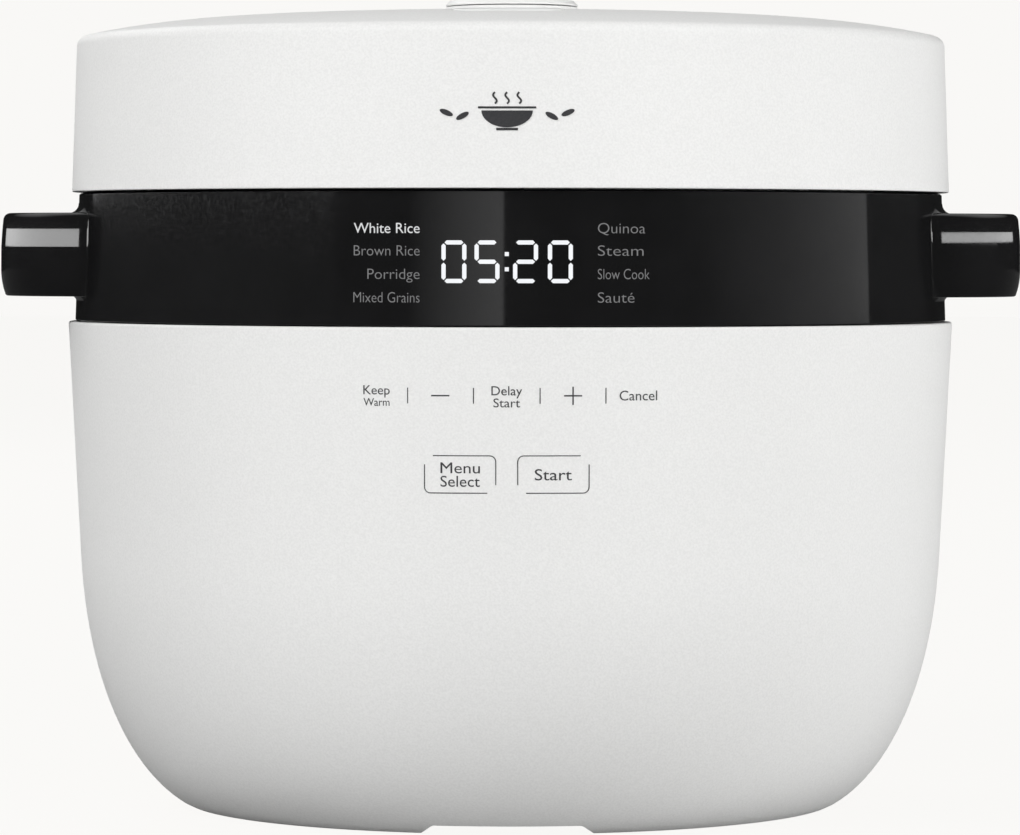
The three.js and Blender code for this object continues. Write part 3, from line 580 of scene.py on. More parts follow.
def make_shell():
    top_r, top_z = SHELL_TOP
    inner = [point for point in shell_outline(WALL, 14) if point[1] > 6.4]
    profile = [(FOOT_RING, 0.6, 0.5), (103.6, 0.6, 0.2)] + shell_outline(0)[1:]
    profile += [(top_r, top_z, 0.7), (top_r - WALL, top_z, 0.3)] + inner[::-1] + [(FOOT_RING, 5.6, 0.4)]
    shell = revolve(rounded(profile, closed=True), closed=True)
    notch = [(-NOTCH_FOOT, 0), (NOTCH_FOOT, 0)]
    notch += [(NOTCH_HEAD, NOTCH_HEIGHT, 2), (-NOTCH_HEAD, NOTCH_HEIGHT, 2)]
    cutters = []
    for quarter in range(4):
        cutter = prism(rounded(notch, closed=True), 80, 125, "xz")
        spin = Matrix.Rotation(quarter * pi / 2, 4, "Z")
        middle = Matrix.Translation((0, AXIS_Y * MM, 0))
        bmesh.ops.transform(cutter, matrix=middle @ spin @ middle.inverted(), verts=cutter.verts)
        cutters.append(cutter)
    cutters.append(box((-20.3, 20.3), (118, 146), (81.7, 114.3), 3.5))
    piece("outer_shell_fine", carved(shell, *cutters), "white", ROOT, ["outer_shell"])


def polar(radius, angle):
    return radius * cos(radians(angle)), radius * sin(radians(angle))


def make_underside():
    floor, rim = 3.0, 95.6
    cover = revolve(rounded([(0, floor), (rim, floor, 0.6), (rim, 5.2, 0.4), (0, 5.2)]), 180)
    cutters = []
    for row in range(-3, 4):
        half = 30 - 3.4 * abs(row)
        for side in (-1, 1):
            middle = side * (half / 2 + 2)
            slot = [(x + middle, y) for x, y in pill(half, 3.2, 8 * row, 6)]
            cutters.append(prism(slot, 0, 10))
    for ring in (64, 70):
        groove = [(ring, 2), (ring + 1.2, 2), (ring + 1.2, 3.5), (ring, 3.5)]
        cutters.append(revolve(groove, 120, closed=True))
    screws = [polar(88, angle) for angle in (45, 135, 225, 315)]
    cutters += [disc(4.1, 0, 4.4, 32, centre) for centre in screws]
    piece("bottom_cover_fine", carved(cover, *cutters), "matte", ROOT, ["bottom_cover"])
    pad = [(0, 0.5), (5.2, 0.5, 0.2), (5.6, 0, 0.2), (8.4, 0, 0.6), (9, 1, 0.5), (9, floor, 0.1), (0, floor)]
    for i, angle in enumerate((30, 150, 210, 330), 1):
        foot = revolve(rounded(pad), 64, centre=polar(84, angle))
        piece(f"foot_pad_{i}", foot, "rubber", ROOT, [f"foot_{i}"])
    screw = [(0, 2.3), (2.6, 2.3, 0.6), (3.4, 3.1, 0.3), (3.4, 3.9, 0.1), (1.3, 3.9), (1.3, 14), (0, 14)]
    for i, (x, y) in enumerate(screws, 1):
        head = revolve(rounded(screw), 40, centre=(x, y))
        cross = [
            box((x - wide, x + wide), (y - deep, y + deep), (2, 3.3))
            for wide, deep in ((1.9, 0.45), (0.45, 1.9))
        ]
        piece(f"cover_screw_head_{i}", carved(head, *cross), "steel", ROOT, [f"cover_screw_{i}"])


# ---- collar, hinge housing and display
def band_outline(depth):
    """The band's section: its outer face with a fine edge at top and bottom, and its back this far in."""
    bottom, top = BAND_BOTTOM[1] + 0.05, BAND_TOP[1] - 0.05
    outline = [(BAND_BOTTOM[0] - depth, bottom), (BAND_BOTTOM[0], bottom, 0.15)]
    outline += [(band_radius(195.2), 195.2, 0.15), (BAND_TOP[0] - 0.5, top, 0.1), (BAND_TOP[0] - depth, top)]
    return rounded(outline, closed=True)


def make_collar():
    ring = [(138.4, 148.0, 0.3), (138.4, 155.3), (137.1, 155.3), (BAND_TOP[0] - 2.4, BAND_TOP[1], 0.4)]
    ring += [(125.5, 195.7, 1.2), (122.0, 192.2, 0.8), (122.0, 189.6, 0.3), (115.2, 189.6, 0.8)]
    ring += [(115.2, 187.0, 0.6), (122.0, 187.0), (122.0, 165.0), (124.4, 165.0), (124.4, 190.4)]
    ring += [(126.4, 192.4), (134.3, 192.4), (134.3, 148.0, 0.3)]
    catch = box((-9, 9), (-133.9, -127.8), (180, 200), 0.6)
    core = carved(revolve(rounded(ring, closed=True), closed=True), catch)
    open_half = LENS_HALF_ANGLE + 0.1
    skin = revolve(band_outline(2.5), 200, closed=True, start=open_half - 90, sweep=360 - 2 * open_half)
    side = [(128, 156.4), (157.6, 156.4, 1.2), (157.6, 190.0, 2.6), (128, 190.0)]
    housing = prism(rounded(side), -46, 46, "yz", 1.6)
    bay = box((-38.8, 38.8), (120, 170), (158.1, 181.4), 0.8)
    below = box((-35, 35), (120, 170), (150, 165))
    trough = rod(7.4, -37.2, 37.2, HINGE_Y, HINGE_Z)
    housing = carved(housing, bay, below, trough, disc(136.5, 140, 210, 180))
    ears = []
    outline = [(140.5, 188.0), (156.0, 188.0), (155.2, 192.0)] + arc(HINGE_Y, HINGE_Z, 7.2, 0, 180, 18)
    outline += [(140.8, 192.0)]
    for low, high in ((-46, -37.2), (37.2, 46)):
        bore = rod(PIN_HOLE, low - 1, high + 1, HINGE_Y, HINGE_Z)
        ears.append(carved(prism(outline, low, high, "yz", 0.9), bore))
    piece("collar_fine", joined(core, skin, housing, *ears), "black", ROOT, ["collar"])


def make_display():
    sweep = 2 * LENS_HALF_ANGLE
    lens = revolve(band_outline(2.0), 160, closed=True, start=-90 - LENS_HALF_ANGLE, sweep=sweep)
    piece("display_lens_fine", lens, "lens", ROOT, ["display_lens"])
    spot = on_front(band_radius, 0.01)
    lit_depth = 0.05

    def segment(bm, x0, z0, x1, z1, wide):
        """A bar with pointed ends from one node of the digit to the next."""
        gap = 0.28
        dx, dz = x1 - x0, z1 - z0
        size = hypot(dx, dz)
        ux, uz = dx / size, dz / size
        half = wide / 2
        marks = ((gap, 0), (gap + half, half), (size - gap - half, half), (size - gap, 0),
                 (size - gap - half, -half), (gap + half, -half))
        outline = [(x0 + ux * a - uz * b, z0 + uz * a + ux * b) for a, b in marks]
        flat_shape(bm, outline, spot, lit_depth, 2.0)

    digits = bmesh.new()
    low, high, wide, bar = 168.0, 180.65, 7.4, 1.25
    shapes = {"0": "abcdef", "5": "afgcd", "2": "abged"}
    for centre, digit in zip((-15.7, -5.9, 5.5, 15.8), "0520"):
        left, right = centre - wide / 2 + bar / 2, centre + wide / 2 - bar / 2
        bottom, top = low + bar / 2, high - bar / 2
        middle = (low + high) / 2
        bars = {
            "a": (left, top, right, top),
            "b": (right, middle, right, top),
            "c": (right, bottom, right, middle),
            "d": (left, bottom, right, bottom),
            "e": (left, bottom, left, middle),
            "f": (left, middle, left, top),
            "g": (left, middle, right, middle),
        }
        for key in shapes[digit]:
            segment(digits, *bars[key], bar)
    for z in (176.6, 172.1):
        dot = [(-0.65, z - 0.6), (0.55, z - 0.6), (0.55, z + 0.6), (-0.65, z + 0.6)]
        flat_shape(digits, dot, spot, lit_depth)
    piece("clock_digits", digits, "digit", ROOT)
    rows = (184.3, 177.65, 170.7, 163.75)
    chosen = bmesh.new()
    letters(chosen, "White Rice", -25.9, rows[0], 3.0, spot, lit_depth, "RIGHT", 19.7)
    piece("label_chosen", chosen, "label_on", ROOT)
    rest = bmesh.new()
    left_words = (("Brown Rice", 19.7), ("Porridge", 15.6), ("Mixed Grains", 19.8))
    for (words, width), z in zip(left_words, rows[1:]):
        letters(rest, words, -25.9, z, 3.0, spot, lit_depth, "RIGHT", width, 0.1)
    right_words = (("Quinoa", 14.1), ("Steam", 13.6), ("Slow Cook", 15.4), ("Sauté", 10.9))
    for (words, width), z in zip(right_words, rows):
        letters(rest, words, 26.9, z, 3.0, spot, lit_depth, "LEFT", width, 0.1)
    piece("labels_dim", rest, "label_off", ROOT)


# Words printed on the keys, as (text, middle x, middle z, height of capitals, width).
KEY_WORDS = [
    ("Keep", -38.7, 136.3, 2.7, 7.9),
    ("Warm", -38.7, 132.7, 2.25, 7.8),
    ("Delay", 0.0, 136.2, 2.7, 9.1),
    ("Start", 0.0, 132.6, 2.6, 7.9),
    ("Cancel", 39.0, 134.7, 2.9, 11.2),
    ("Menu", -13.8, 113.3, 3.2, 11.7),
    ("Select", -13.8, 109.3, 3.2, 11.7),
    ("Start", 13.8, 111.3, 3.3, 11.0),
]


def make_touch_keys():
    spot = on_front(shell_radius, 0.01)
    depth = 0.04
    ink = bmesh.new()
    row = 134.7
    for x in (-29.4, -9.85, 9.85, 29.35):
        stroke(ink, straight(x, row - 2.35, x, row + 2.35), 0.3, spot, depth)
    stroke(ink, straight(-22.4, row, -17.0, row), 0.42, spot, depth)
    stroke(ink, straight(16.9, row, 22.3, row), 0.42, spot, depth)
    stroke(ink, straight(19.6, row - 2.7, 19.6, row + 2.7), 0.42, spot, depth)
    for text, x, z, cap, width in KEY_WORDS:
        letters(ink, text, x, z, cap, spot, depth, width=width)
    for side in (-1, 1):
        inner, outer, low, high, turn = 3.25, 24.4, 105.8, 116.9, 1.8
        top = [(outer - 2.5, high), *arc(inner + turn, high - turn, turn, 90, 180, 6), (inner, 108.2)]
        under = [(outer, 114.3), *arc(outer - turn, low + turn, turn, 0, -90, 6), (inner + 2.5, low)]
        for path in (top, under):
            fine = []
            for (x0, z0), (x1, z1) in zip(path, path[1:]):
                fine += straight(x0, z0, x1, z1)[:-1]
            fine.append(path[-1])
            stroke(ink, [(side * x, z) for x, z in fine], 0.3, spot, depth)
    piece("touch_key_print", ink, "ink", ROOT)


def make_emblem():
    """A plain pictogram of a steaming bowl between two grains on each side."""
    spot = on_front(lid_radius, 0.01)
    depth = 0.04
    ink = bmesh.new()
    brim, reach = 219.0, 7.6
    bowl = [(-reach, brim), (reach, brim)]
    bowl += [(reach * x, brim - 5.0 * z) for x, z in arc(0, 0, 1, 0, 180, 20)[1:-1]]
    stroke(ink, straight(-8.6, 219.9, 8.6, 219.9), 0.6, spot, depth)
    flat_shape(ink, bowl, spot, depth)
    stroke(ink, straight(-3.2, 213.5, 3.2, 213.5), 0.7, spot, depth)
    for x in (-3.6, 0.0, 3.6):
        wave = [(x + 0.55 * sin(k / 12 * 2 * pi), 221.0 + 3.4 * k / 12) for k in range(13)]
        stroke(ink, wave, 0.55, spot, depth)
    for x, z, lean in ((-13.2, 217.4, 0.5), (-18.0, 218.4, -0.4), (13.2, 217.4, -0.5), (18.0, 218.4, 0.4)):
        turned = Matrix.Rotation(lean, 2)
        ellipse = [Vector((2.1 * a, 0.8 * b)) for a, b in arc(0, 0, 1, 0, 360, 20)[:-1]]
        grain = [Vector((x, z)) + turned @ point for point in ellipse]
        flat_shape(ink, grain, spot, depth)
    piece("lid_emblem", ink, "ink", "lid")


# ---- handles
HANDLE_REACH = 163.75
HANDLE_TOP = 189.4
HANDLE_BOTTOM = 162.95
HANDLE_ROOT = 17.3
HANDLE_WALL = 3.4


def smooth_step(value):
    value = max(0.0, min(1.0, value))
    return value * value * (3 - 2 * value)


def ear_circle():
    """The centre and radius of the round ear in plan, which meets the band at the root angle."""
    corner = Vector(polar(BAND_BOTTOM[0], HANDLE_ROOT))
    centre = (HANDLE_REACH**2 - corner.length_squared) / (2 * (HANDLE_REACH - corner.x))
    return Vector((centre, 0)), HANDLE_REACH - centre


def ear_outline(inset, band, fillet):
    """Points round the ear in plan, this far inside it, with a fillet to the band at each root."""
    centre, radius = ear_circle()
    radius -= inset
    outer, near = band + fillet, radius + fillet
    x = (outer**2 - near**2 + centre.x**2) / (2 * centre.x)
    pivot = Vector((x, sqrt(outer**2 - x * x)))
    first = pivot * (band / outer) - pivot
    last = centre + (pivot - centre) * (radius / near)
    turn = first.angle_signed(last - pivot)
    half = [first.normalized() * 0.8 + pivot + first]
    half += [pivot + Matrix.Rotation(-turn * k / 10, 2) @ first for k in range(11)]
    limit = atan2(last.y, last.x - centre.x)
    half += [centre + Vector(polar(radius, degrees(limit) * (1 - k / 60))) for k in range(1, 61)]
    return half + [Vector((p.x, -p.y)) for p in half[-2::-1]]


def handle_levels(side):
    """The outer face from the bottom edge to the top face, as (inset, z); one flat facet is a bright bar."""
    low_edge, foot, corner = 1.25, 0.9, 2.3
    bar_low, bar_high = (180.0, 183.5) if side > 0 else (178.7, 184.2)
    levels = arc(low_edge + foot, HANDLE_BOTTOM + foot, foot, 270, 180, 5)
    levels += [(0.0203 * (171.5 - z) ** 2, z) for z in (165, 166, 167, 168, 169, 170, 171)]
    slopes = [(171.5, 0.0), (bar_low - 0.35, 0.8), (bar_low, 3.3), (bar_high, 4.3), (bar_high + 0.35, 5.8)]
    slopes.append((HANDLE_TOP - corner, 6.0))
    inset = 0.0
    for (z0, lean0), (z1, lean1) in zip(slopes, slopes[1:]):
        steps = max(1, round(z1 - z0))
        for k in range(1, steps + 1):
            lean = lean0 + (lean1 - lean0) * (k - 0.5) / steps
            inset += tan(radians(lean)) * (z1 - z0) / steps
            levels.append((inset, z0 + (z1 - z0) * k / steps))
    return levels + arc(inset + corner, HANDLE_TOP - corner, corner, 174, 90, 8)[1:]


def make_handle(side):
    rows = []
    for inset, z in handle_levels(side):
        fillet = 1.0 + 3.8 * smooth_step((170 - z) / 7)
        rows.append([(point, z) for point in ear_outline(inset, band_radius(z), fillet)])

    def to_band(row, direction, fillet):
        """Rows from an edge of the outer face to the band, ending in a fillet that rises or falls."""
        made = []
        shares = [0.0, 0.15, 0.35, 0.6, 0.85] + [1 + k / 8 for k in range(9)]
        for share in shares:
            line = []
            for point, z in row:
                band = band_radius(z)
                width = point.length - band
                bend = min(fillet, 0.9 * width)
                if width < 0.02:
                    line.append((point, z))
                    continue
                if share <= 1:
                    away, rise = width - (width - bend) * share, 0.0
                else:
                    turn = radians(90 * (share - 1))
                    away, rise = bend * (1 - sin(turn)), bend * (1 - cos(turn))
                line.append((point.normalized() * (band + away), z + direction * rise))
            made.append(line)
        made.append([(point.normalized() * (point.length - 0.9), z) for point, z in made[-1]])
        return made

    rows = to_band(rows[0], -1, 1.7)[:0:-1] + rows + to_band(rows[-1], 1, 3.2)[1:]
    bm = bmesh.new()
    grid = [[bm.verts.new(place(side * point.x, point.y, z)) for point, z in row] for row in rows]
    for here, there in zip(grid, grid[1:] + grid[:1]):
        for k in range(len(here) - 1):
            bm.faces.new((here[k], here[k + 1], there[k + 1], there[k]))
    for end in (0, -1):
        bm.faces.new([row[end] for row in grid])
    bmesh.ops.remove_doubles(bm, verts=bm.verts, dist=1e-7)
    centre, radius = ear_circle()
    radius -= HANDLE_WALL
    inner = BAND_BOTTOM[0] + 2.7
    x = (inner**2 - radius**2 + centre.x**2) / (2 * centre.x)
    y = sqrt(inner**2 - x * x)
    spread, back = degrees(atan2(y, x - centre.x)), degrees(atan2(y, x))
    pocket = arc(centre.x, 0, radius, -spread, spread, 40) + arc(0, 0, inner, back, -back, 24)[1:-1]
    pocket = rounded([(*p, 1.6 if k in (0, 40) else 0) for k, p in enumerate(pocket)], 4, closed=True)
    hollow = prism(pocket, 150, 185.7)
    for vert in hollow.verts:
        vert.co.x *= side
    name = "right" if side > 0 else "left"
    ear = carved(bm, hollow, folded=True)
    piece(f"{name}_handle_fine", ear, "black", ROOT, [f"{name}_handle"], sharp=40)


# ---- pot, inlet, cup
def make_pot():
    outside = [(0, 54.0), (114, 54.0, 24), (114, 190.0, 1.2), (120.0, 190.0, 0.9), (120.0, 192.0, 0.9)]
    profile = rounded(outside + [(112, 192.0, 2.5), (112, 56.0, 22), (0, 56.0)], 12)
    piece("inner_pot_fine", revolve(profile), "non_stick", ROOT, ["inner_pot"])
    marks = bmesh.new()

    def spot(x, z, above=0.0):
        r = 111.95 - above
        return place(x, sqrt(r * r - x * x), z)

    for i in range(9):
        z = 84 + 9.6 * i
        half = 7 if i % 2 == 0 else 4
        stroke(marks, straight(half, z, -half, z), 0.5, spot, 0.03)
        if i % 2 == 0:
            letters(marks, str(i + 2), 0, z + 3.4, 3.6, lambda x, z, above: spot(-x, z, above), 0.03)
    piece("pot_scale", marks, "scale_ink", ROOT)


def make_inlet():
    def upright(points, steps):
        return rounded(points, steps, closed=True)

    outline = upright([(-23.4, 78.6, 4), (23.4, 78.6, 4), (23.4, 117.4, 4), (-23.4, 117.4, 4)], 6)
    plate = prism(outline, 128, 141.6, "xz", 0.9)
    hug = revolve([(0, 60), *[(shell_radius(z) + 0.05, z) for z in (60, 80, 100, 130)], (0, 130)], 180)
    barrel = prism(upright([(-20, 82, 3), (20, 82, 3), (20, 114, 3), (-20, 114, 3)], 5), 120.6, 140, "xz")
    body = carved(carved(plate, hug), barrel, operation="UNION")
    socket = [(-12.5, 89.5, 1.2), (12.5, 89.5, 1.2), (12.5, 102, 1.5), (8, 106.5, 1.5), (-8, 106.5, 1.5)]
    body = carved(body, prism(upright([*socket, (-12.5, 102, 1.5)], 4), 124, 150, "xz"))
    piece("inlet_fine", body, "matte", ROOT, ["inlet_housing"])
    for name, x, z in (("live", -7, 96), ("neutral", 7, 96), ("earth", 0, 100)):
        blade = box((x - 1, x + 1), (119.6, 136), (z - 2, z + 2), 0.45)
        piece(f"inlet_blade_{name}", blade, "brass", ROOT, [f"inlet_pin_{name}"])


def make_cup():
    outer = box((-38, 38), (120, 157), (158.4, 181), 2.2, 4)
    hollow = box((-36, 36), (110, 155), (160.4, 190), 1.6, 3)
    front, front_inside = (disc(radius, 140, 200, FINE) for radius in (140.15, 142.1))
    cup = carved(carved(outer, front), carved(hollow, front_inside))
    cup = carved(cup, rod(3.4, -14, 14, 158.6, 160.2))
    piece("water_cup_fine", cup, "cup", "water_cup", ["condensation_cup"])


# ---- lid
SHOULDER = 3.4
CROWN = 6.3
LID_TOP = LID_SHOULDER[1] + SHOULDER + CROWN


def dome(r):
    return LID_TOP - CROWN * (r / (LID_SHOULDER[0] - SHOULDER)) ** 4.8


def lid_outline():
    """The rounded shoulder, then the dome eased down to meet it, out to in."""
    side_r, side_z = LID_SHOULDER
    shoulder = arc(side_r - SHOULDER, side_z, SHOULDER, 2, 76, 8)
    edge_r, edge_z = shoulder[-1]
    gap = dome(edge_r) - edge_z
    line = []
    for k in range(1, 37):
        r = edge_r * (1 - k / 36)
        line.append((r, dome(r) - gap * max(0.0, 1 - (edge_r - r) / 14) ** 2))
    return shoulder + line


def make_lid():
    foot = rounded([(138.1, 198), (138.15, 196.1, 0.3), (140.5, 196.1, 0.4), (140.1, 206)], 5)[1:-1]
    inside = [(r, dome(r) - WALL) for r in (0, 30, 60, 80, 95, 108, 118, 126, 132)]
    inside += [(135.2, 242.0), (136.3, 238.0), (138.0, 200.0)]
    body = revolve(foot + lid_outline() + inside, closed=True)
    vent_hole = disc(19.6, 230, 270, 120, (0, VENT_Y))
    button_hole = prism(pill(34.7, 14.7, BUTTON_Y), 230, 270)
    gate = box((-37.2, 37.2), (120, 150), (190, 202.4), 1.0)
    body = carved(body, vent_hole, button_hole, gate)
    piece("lid_shell_fine", body, "white", "lid", ["lid_shell"])


def make_button():
    """A pill-shaped key that follows the lid's dome, with a rounded rim and a shallow finger dish."""
    bm = bmesh.new()
    rings = []
    steps = [(0.0, -8.6), (0.0, -0.7), (0.1, -0.3), (0.35, 0.12), (0.8, 0.38), (1.6, 0.4)]
    for k in range(1, 8):
        steps.append((1.6 + 5.2 * k / 7, 0.4 - 0.45 * smooth_step(k / 7)))
    for inset, lift in steps:
        ring = []
        for x, y in pill(34 - 2 * inset, 14 - 2 * inset, BUTTON_Y, 20):
            base = dome(hypot(x, y)) if lift > -5 else LID_TOP - 1.6
            ring.append(bm.verts.new(place(x, y, base + lift)))
        rings.append(ring)
    stitch(bm, rings)
    stem = revolve(rounded([(0, 216.3), (3, 216.3, 0.6), (3, 244.2), (0, 244.2)]), 32, centre=(0, BUTTON_Y))
    body = joined(bm, stem)
    piece("release_button_fine", body, "white_smooth", "release_button", ["release_button"])


def make_vent():
    centre = (0, VENT_Y)
    rim, seat, lip, stem = 21.75, 255.0, 257.7, 17.2
    side = [(7, 214.0, 0.5), (stem, 214.0, 1.5), (stem, 252.8), (rim, 252.8, 0.5), (rim, lip, 0.3)]
    side += [(19.8, lip, 0.2), (19.8, seat, 0.3), (15.8, seat, 0.4), (15.8, 215.6, 1.0), (7, 215.6, 0.4)]
    chamber = revolve(rounded(side, closed=True), 128, closed=True, centre=centre)
    piece("vent_chamber_fine", chamber, "white_smooth", "steam_vent", ["vent_chamber"])
    under, top = lip + 0.3, 259.8
    plate = [(0, under), (21.7, under, 0.2), (rim, 258.5, 0.2), (20.4, top, 0.9), (0, top)]
    slots = [prism(pill(13 - abs(i) * 1.5, 2.2, VENT_Y + 4.6 * i, 8), 255, 265) for i in (-1, 0, 1)]
    cap = carved(revolve(rounded(plate), 128, centre=centre), *slots)
    skirt = [(14, 249, 0.3), (15.4, 249, 0.3), (15.4, under + 0.05), (14, under + 0.05)]
    plug = revolve(rounded(skirt, closed=True), 96, closed=True, centre=centre)
    piece("vent_cap_fine", joined(cap, plug), "white_smooth", "vent_cover", ["vent_cap"])


def make_liner():
    dish = [(0, 206.0), (117.0, 206.0, 2.0), (117.0, 197.0, 1.0), (137.3, 197.0, 1.0), (137.3, 203.0, 0.4)]
    dish += [(135.3, 203.0, 0.4), (135.3, 199.0), (119.0, 199.0), (119.0, 208.0, 1.0), (0, 208.0)]
    latch_gate = box((-8, 8), (-134.8, -125.4), (190, 202), 0.8)
    plate = carved(revolve(rounded(dish, 4)), latch_gate, disc(8.6, 200, 215, 48, (0, VENT_Y)))
    arm_side = [(124, 197.2), (139.5, 197.2, 3), (143.5, 193.4), (150, 194.0), (150, 201.6, 1), (124, 201.6)]
    hub = carved(prism(rounded(arm_side), -36.4, 36.4, "yz", 0.5), disc(118, 190, 220, 120))
    knuckle = carved(hub, rod(6.5, -36.4, 36.4, HINGE_Y, HINGE_Z, 0.4), operation="UNION")
    spring_room = rod(8.6, -9, 9, HINGE_Y, HINGE_Z)
    knuckle = carved(knuckle, rod(PIN_HOLE, -50, 50, HINGE_Y, HINGE_Z), spring_room)
    ear = [(-135.9, 198.5), (-121.9, 198.5), (-125.4, 218.5), (-134.4, 218.5)]
    ears = [prism(ear, low, low + 3, "yz") for low in (-11, 8)]
    piece("lid_liner_fine", joined(plate, knuckle, *ears), "liner", "lid", ["lid_liner"])


def make_inner_lid():
    under = [(8.0, 199.4, 0.4), (20, 199.2, 1.0), (22, 200.6, 1.0), (30, 200.5, 1.0), (32, 198.9, 1.0)]
    under += [(84, 197.8, 1.5), (87, 199.0, 1.5), (92, 198.9, 1.5), (95, 197.5, 1.5), (104, 197.2, 2.0)]
    under += [(110, 195.6, 1.0), (111.6, 195.6, 0.3)]
    over = [(111.6, 197.0, 0.3), (105, 198.6, 1.0), (95, 198.7, 1.0), (92, 200.1, 1.0), (87, 200.2, 1.0)]
    over += [(84, 199.0, 1.0), (32, 200.1, 1.0), (30, 201.7, 1.0), (22, 201.8, 1.0), (20, 200.4, 1.0)]
    profile = rounded(under + over + [(8.0, 200.7, 0.4)], 3, closed=True)
    spots = ((0, 0), (-8, 0), (8, 0), (0, -8), (0, 8), (-6, -5.6), (6, -5.6), (-6, 5.6), (6, 5.6))
    holes = [disc(1.6, 190, 210, 20, (x, VENT_Y + y)) for x, y in spots]
    plate = carved(revolve(profile, closed=True), *holes)
    piece("inner_lid_fine", plate, "aluminium", "lid", ["inner_lid"])
    ring = [(112.0, 195.4, 0.6), (113.2, 193.2, 0.8), (116.4, 192.35, 0.5), (118.3, 193.6, 0.9)]
    ring += [(118.3, 195.4, 0.6), (116.4, 196.5, 0.4), (116.4, 201.0, 0.4), (112.0, 201.0, 0.4)]
    seal = revolve(rounded(ring, 4, closed=True), closed=True)
    piece("gasket_fine", seal, "silicone", "lid", ["gasket"])
    probe = rounded([(0, 194), (6, 194, 1.6), (6, 203, 0.3), (7.6, 203, 0.4), (7.6, 205.7), (0, 205.7)])
    piece("lid_probe_fine", revolve(probe, 64), "steel", "lid", ["lid_sensor"])


def make_latch():
    arm = [(LATCH_Y, 213), (-98, 213.5, 0.9), (-98, 216, 0.9), (LATCH_Y, 216)]
    hook = [(-131.3, 214), (-131.3, 188.5, 0.8), (-128.3, 188.5, 0.6), (-126.5, 191.9, 0.3)]
    hook += [(-128.5, 191.9, 0.4), (-128.5, 214)]
    arm, hook = (prism(rounded(side), -5, 5, "yz", 0.4) for side in (arm, hook))
    lever = carved(arm, hook, rod(4.5, -5, 5, LATCH_Y, LATCH_Z, 0.4), operation="UNION")
    lever = carved(lever, rod(1.8, -10, 10, LATCH_Y, LATCH_Z))
    piece("latch_lever_fine", lever, "matte", "latch", ["latch_lever"])


def make_hinge():
    pin = rod(2.5, -45.4, 45.4, HINGE_Y, HINGE_Z, 0.6)
    piece("hinge_pin_fine", pin, "steel", ROOT, ["hinge_pin"])
    bm = bmesh.new()
    turns, around, sides, radius, wire, half = 6, 28, 10, 4.6, 0.75, 7.2
    steps = turns * around
    rings = []
    for i in range(steps + 1):
        x = -half + 2 * half * i / steps
        cut = arc(radius, 0, wire, 0, 360, sides)[:-1]
        ring = [(x + along, *polar(out, 360 * i / around)) for out, along in cut]
        rings.append([bm.verts.new(place(x, HINGE_Y + y, HINGE_Z + z)) for x, y, z in ring])
    stitch(bm, rings)
    piece("hinge_spring_fine", bm, "steel", ROOT, ["hinge_spring"])


# ---- CAD nodes that stay
KEPT = {
    "white_smooth": ["light_guide"],
    "board": ["display_board", "touch_board", "power_board"],
    "core": ["transformer"],
    "matte": ["relay"],
    "aluminium": ["heat_shield", "heating_plate", "sensor_cap"],
    "steel": ["heater_element", "sensor_bracket", "latch_pin"],
    "liner": ["button_frame", "vent_well"],
    "silicone": ["vent_seal"],
    "ceramic": [f"plate_post_{i}" for i in (1, 2, 3)],
}
KEPT["steel"] += [f"handle_screw_{i}" for i in (1, 2, 3, 4)]
KEPT["steel"] += [f"{part}_spring" for part in ("sensor", "button", "latch")]


def paint_kept():
    for paint, nodes in KEPT.items():
        for slot in [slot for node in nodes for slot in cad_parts[node].material_slots]:
            slot.material = PAINTS[paint].material


# ---- camera, stage and lights
def make_camera():
    data = bpy.data.cameras.new("camera")
    data.sensor_width = 36
    data.lens = 188.4
    data.clip_end = 100
    camera = bpy.data.objects.new("camera", data)
    camera.location = (0.0128, -1.718 + AXIS_Y * MM, 0.1787)
    yaw, pitch, roll = radians(0.43), radians(90 - 1.83), radians(0.06)
    aim = Matrix.Rotation(yaw, 3, "Z") @ Matrix.Rotation(pitch, 3, "X")
    camera.rotation_euler = (aim @ Matrix.Rotation(roll, 3, "Z")).to_euler()
    scene.collection.objects.link(camera)
    scene.camera = camera


BACKGROUND = (0.947, 0.939, 0.922)
AMBIENT = 0.04
STUDIO_GLOSS = 0.07

# Reflections in the gloss. Azimuth 0 is in front, and it grows towards the object's right. Lift is what a
# surface sees when it leans back by half as much, so a panel shows at one height all round a turned surface.
# Each has its near and far azimuth and its lift limits in degrees, its brightness at the near and far end,
# and how the brightness bends between them.
REFLECTIONS = [
    ((-26.0, -1.3), (1.5, 6.0), (0.0, 0.95), 1),
    ((50.0, 108.0), (2.0, 5.1), (0.0, 0.6), 1),
    ((46.0, 138.0), (6.2, 8.8), (7.5, 2.0), 2),
    ((-46.0, -146.0), (5.3, 9.3), (7.5, 1.6), 2),
]


